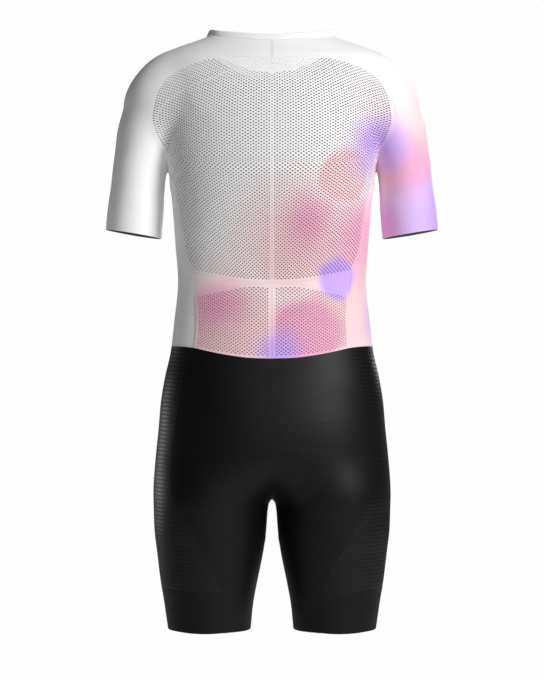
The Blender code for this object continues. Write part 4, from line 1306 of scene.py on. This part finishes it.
class SUIT_OT_mesh(Builder):
    """Adds the mesh back and the two mesh pockets, with real eyelets"""

    bl_idname = "suit.mesh"
    bl_label = "Mesh back and pockets"

    def execute(self, context):
        sizes = context.scene.suit_sizes
        grid = all_panels()["back_mesh"][0]
        yarn = finish("mesh", "right")
        net_back = eyelet_cloth(
            "cloth_back_mesh", grid, sizes.eyelets_across, sizes.eyelets_down, sizes.hole, yarn
        )
        declare(net_back, "back_mesh", [grid])
        for side, flip in (("left", 1), ("right", -1)):
            grid = all_panels()["pocket"][0] * (flip, 1, 1)
            pocket = eyelet_cloth(
                f"cloth_pocket_{side}", grid, sizes.pocket_across, sizes.pocket_down, sizes.hole,
                yarn, -MESH_CLOTH - POCKET_GAP,
            )
            declare(pocket, f"pocket_{side}", [grid])
        return {"FINISHED"}


class SUIT_OT_shorts(Builder):
    """Adds the panels of the shorts"""

    bl_idname = "suit.shorts"
    bl_label = "Shorts"

    def execute(self, context):
        grids = all_panels()["shorts_yoke"]
        declare(cloth("cloth_shorts_yoke", grids, finish("satin")), "shorts_yoke", grids)
        paired("thigh_side", "ribbed")
        paired("leg_back", "satin")
        paired("leg_front", "satin")
        return {"FINISHED"}


class SUIT_OT_collar(Builder):
    """Adds the collar, a band folded over at its top"""

    bl_idname = "suit.collar"
    bl_label = "Collar"

    def execute(self, context):
        s = fine_seams()
        base = whole(chain(s["neck_back"], s["neck_side"], s["neck_front"]))
        out = away_from_neck(base)
        half = COLLAR_THICKNESS / 2
        fold = COLLAR_HEIGHT - half
        profile = [(half, 0.0), (half + COLLAR_SWELL, COLLAR_SEWN / 2), (half, COLLAR_SEWN)]
        profile += [(half * np.cos(a), fold + half * np.sin(a)) for a in np.linspace(0, np.pi, 7)]
        profile += [(-half, COLLAR_SEWN), (-half, 0.0)]
        inwards = SEAM_GAP / 2 + half
        leaning = [
            (x - inwards - COLLAR_LEAN * (y / COLLAR_HEIGHT) ** 2, y + SEAM_GAP) for x, y in profile
        ]
        frames = [(p, o, np.array((0.0, 0.0, 1.0))) for p, o in zip(base, out)]
        band = sweep("cloth_collar", frames, leaning, finish("knit"))
        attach(band, "suit")
        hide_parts("collar")
        return {"FINISHED"}


class SUIT_OT_seams(Builder):
    """Adds the strips under the seams and the two rows of stitches beside each"""

    bl_idname = "suit.seams"
    bl_label = "Seams and stitches"

    def execute(self, context):
        sizes = context.scene.suit_sizes
        for tone, names in (("white", WHITE_SEAMS), ("black", BLACK_SEAMS), ("grey", ["centre_neck"])):
            thread = finish(f"{tone} thread")
            beds, vertices, faces = [], [], []
            for name in names:
                lines = [fine_seams()[name]] if name == "centre_neck" else both_sides(name)
                for line in lines:
                    beds.append(seam_bed(f"bed_{name}", line, thread))
                    if name in UNSTITCHED:
                        continue
                    more, their_faces = stitch_rows(line, sizes)
                    faces += [tuple(len(vertices) + k for k in face) for face in their_faces]
                    vertices += more
            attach(joined(f"seam_strips_{tone}", beds), "suit")
            if vertices:
                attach(from_faces(f"stitches_{tone}", vertices, faces, thread, sharp=180), "suit")
        return {"FINISHED"}


class SUIT_OT_zip(Builder):
    """Adds the zip's tapes and the teeth of its coil, and gives the slider, pull and stop their metal"""

    bl_idname = "suit.zip"
    bl_label = "Zip"

    def execute(self, context):
        sizes = context.scene.suit_sizes
        top, low = TAPE_TOP, WAIST_FRONT - TAPE_TAIL
        levels = np.linspace(top, low, TAPE_LEVELS)
        columns = np.linspace(TAPE_INNER, TAPE_OUTER, TAPE_COLUMNS)
        tape = np.array([[front(x, z) for x in columns] for z in levels])
        for side, flip in (("left", 1), ("right", -1)):
            grid = tape * (flip, 1, 1)
            name = f"cloth_zip_tape_{side}"
            # Painted shade on the tape's inner faces.
            obj = cloth(name, [grid], finish("zip tape"), TAPE_DEPTH, gap=0, shade_painted_inside=True)
            obj.data.materials.append(finish("inner side"))
            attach(obj, "suit")
            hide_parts(f"zip_tape_{side}")
        self.add_teeth(sizes)
        for node in ("zip_slider", "zip_pull", "zip_bottom_stop"):
            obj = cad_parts[node]
            obj.data.materials.clear()
            obj.data.materials.append(finish("metal"))
        return {"FINISHED"}

    def add_teeth(self, sizes):
        """Teeth from both tapes in turn, from the slider down to the stop."""
        top = SLIDER_LEVEL - SLIDER_LENGTH / 2 - sizes.tooth_pitch
        low = WAIST_FRONT + STOP_LENGTH + STOP_LENGTH / 2 + sizes.tooth_pitch
        count = int((top - low) / sizes.tooth_pitch * 2)
        rail = np.array([front(0, z) for z in np.linspace(top, low, count)])
        points, along, _, out = line_frames(rail)
        deep, tall = CHAIN_THICKNESS * TOOTH_DEPTH, sizes.tooth_pitch * TOOTH_HEIGHT
        angles = np.linspace(0, 2 * np.pi, TOOTH_SIDES, endpoint=False)
        ring_count = len(TOOTH_RINGS)
        vertices, faces = [], []
        for k, (p, t, n) in enumerate(zip(points, along, out)):
            side = 1 if k % 2 else -1
            centre = p - (CHAIN_DEPTH + CHAIN_THICKNESS / 2) * n
            for x, size_share in TOOTH_RINGS:
                for a in angles:
                    point = centre + size_share * (deep * np.cos(a) * n + tall * np.sin(a) * t)
                    vertices.append(point + np.array((side * x, 0, 0)))
            first = k * ring_count * TOOTH_SIDES
            last = first + (ring_count - 1) * TOOTH_SIDES
            for a in range(first, last, TOOTH_SIDES):
                b = a + TOOTH_SIDES
                for i in range(TOOTH_SIDES):
                    j = (i + 1) % TOOTH_SIDES
                    faces.append((a + i, a + j, b + j, b + i))
            faces += [tuple(end + i for i in range(TOOTH_SIDES)) for end in (first, last)]
        bm = bmesh.new()
        mesh = bpy.data.meshes.new("zip_teeth")
        mesh.from_pydata([tuple(v) for v in vertices], [], faces)
        bm.from_mesh(mesh)
        bmesh.ops.recalc_face_normals(bm, faces=bm.faces[:])
        # Painted shade on the faces that point into the suit.
        for face in bm.faces:
            face.material_index = int(face.normal.y > 0.3)  # the inner side
        bm.to_mesh(mesh)
        bm.free()
        teeth = linked("zip_teeth", mesh, finish("coil"))
        teeth.data.materials.append(finish("inner side"))
        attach(teeth, "suit")
        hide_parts("zip_chain")


class SUIT_OT_stage(Builder):
    """Adds the floor, the lights and the camera"""

    bl_idname = "suit.stage"
    bl_label = "Studio"

    def execute(self, context):
        stage = context.scene.suit_stage
        low, high = (np.array(corner) for corner in CAD_BOX)
        middle = (low + high) / 2
        bm = bmesh.new()
        bmesh.ops.create_circle(bm, cap_ends=True, radius=FLOOR_RADIUS, segments=96,
                                matrix=Matrix.Translation((0, 0, stage.floor)))
        mesh = bpy.data.meshes.new("floor")
        bm.to_mesh(mesh)
        bm.free()
        floor = linked("floor", mesh, self.floor_material())
        for name, (place, size) in LIGHTS.items():
            light = bpy.data.lights.new(name, "AREA")
            light.energy, light.size = getattr(stage, name), size
            lamp = bpy.data.objects.new(name, light)
            lamp.location = place
            lamp.rotation_euler = (Vector(middle) - Vector(place)).to_track_quat("-Z", "Y").to_euler()
            context.scene.collection.objects.link(lamp)
        self.add_world(context, stage.surround)
        camera = bpy.data.objects.new("camera", bpy.data.cameras.new("camera"))
        camera.data.lens = stage.lens
        camera.location = (0, stage.camera_distance, stage.camera_level)
        camera.rotation_euler = (np.pi / 2, 0, np.pi)
        context.scene.collection.objects.link(camera)
        context.scene.camera = camera
        return {"FINISHED"}

    def floor_material(self):
        """A pale floor that is brightened to the eye only."""
        material = plain_material("Studio floor", (0.9, 0.9, 0.9), 0.9)
        t = Tree(material.node_tree)
        shader = material.node_tree.nodes["Principled BSDF"]
        shader.inputs["Emission Strength"].default_value = FLOOR_GLOW
        seen = t.add("ShaderNodeLightPath").outputs["Is Camera Ray"]
        glow = t.add("ShaderNodeCombineColor", {0: seen, 1: seen, 2: seen}).outputs[0]
        t.tree.links.new(glow, shader.inputs["Emission Color"])
        return material

    def add_world(self, context, surround):
        """White to the eye and dimmer as a light."""
        world = bpy.data.worlds.new("Studio")
        world.use_nodes = True
        context.scene.world = world
        t = Tree(world.node_tree)
        seen = t.add("ShaderNodeLightPath").outputs["Is Camera Ray"]
        strength = t.scaled(seen, WHITE_TO_THE_EYE - surround, surround)
        background = world.node_tree.nodes["Background"]
        background.inputs["Color"].default_value = (1, 1, 1, 1)
        t.tree.links.new(strength, background.inputs["Strength"])
        context.scene.view_settings.view_transform = "Standard"


class SUIT_PT_sidebar(bpy.types.Panel):
    """Lists the steps and their settings"""

    bl_label = "Triathlon suit"
    bl_space_type = "VIEW_3D"
    bl_region_type = "UI"
    bl_category = "Suit"

    def draw(self, context):
        for step in STEPS:
            self.layout.operator(step.bl_idname)
        for settings in (context.scene.suit_sizes, context.scene.suit_colours, context.scene.suit_stage):
            box = self.layout.box()
            for name in settings.__annotations__:
                box.prop(settings, name)


STEPS = (
    SUIT_OT_torso, SUIT_OT_sleeves, SUIT_OT_mesh, SUIT_OT_shorts, SUIT_OT_collar, SUIT_OT_seams,
    SUIT_OT_zip, SUIT_OT_stage,
)
SETTINGS = {"suit_sizes": SuitSizes, "suit_colours": SuitColours, "suit_stage": SuitStage}


def register():
    for cls in (*SETTINGS.values(), *STEPS, SUIT_PT_sidebar):
        bpy.utils.register_class(cls)
    for name, settings in SETTINGS.items():
        setattr(bpy.types.Scene, name, PointerProperty(type=settings))


def unregister():
    for name in SETTINGS:
        delattr(bpy.types.Scene, name)
    for cls in reversed((*SETTINGS.values(), *STEPS, SUIT_PT_sidebar)):
        bpy.utils.unregister_class(cls)


def main():
    register()
    for step in STEPS:
        area, name = step.bl_idname.split(".")
        if getattr(getattr(bpy.ops, area), name)() != {"FINISHED"}:
            raise RuntimeError(f"{step.bl_label} could not be made")


if __name__ == "__main__":
    main()
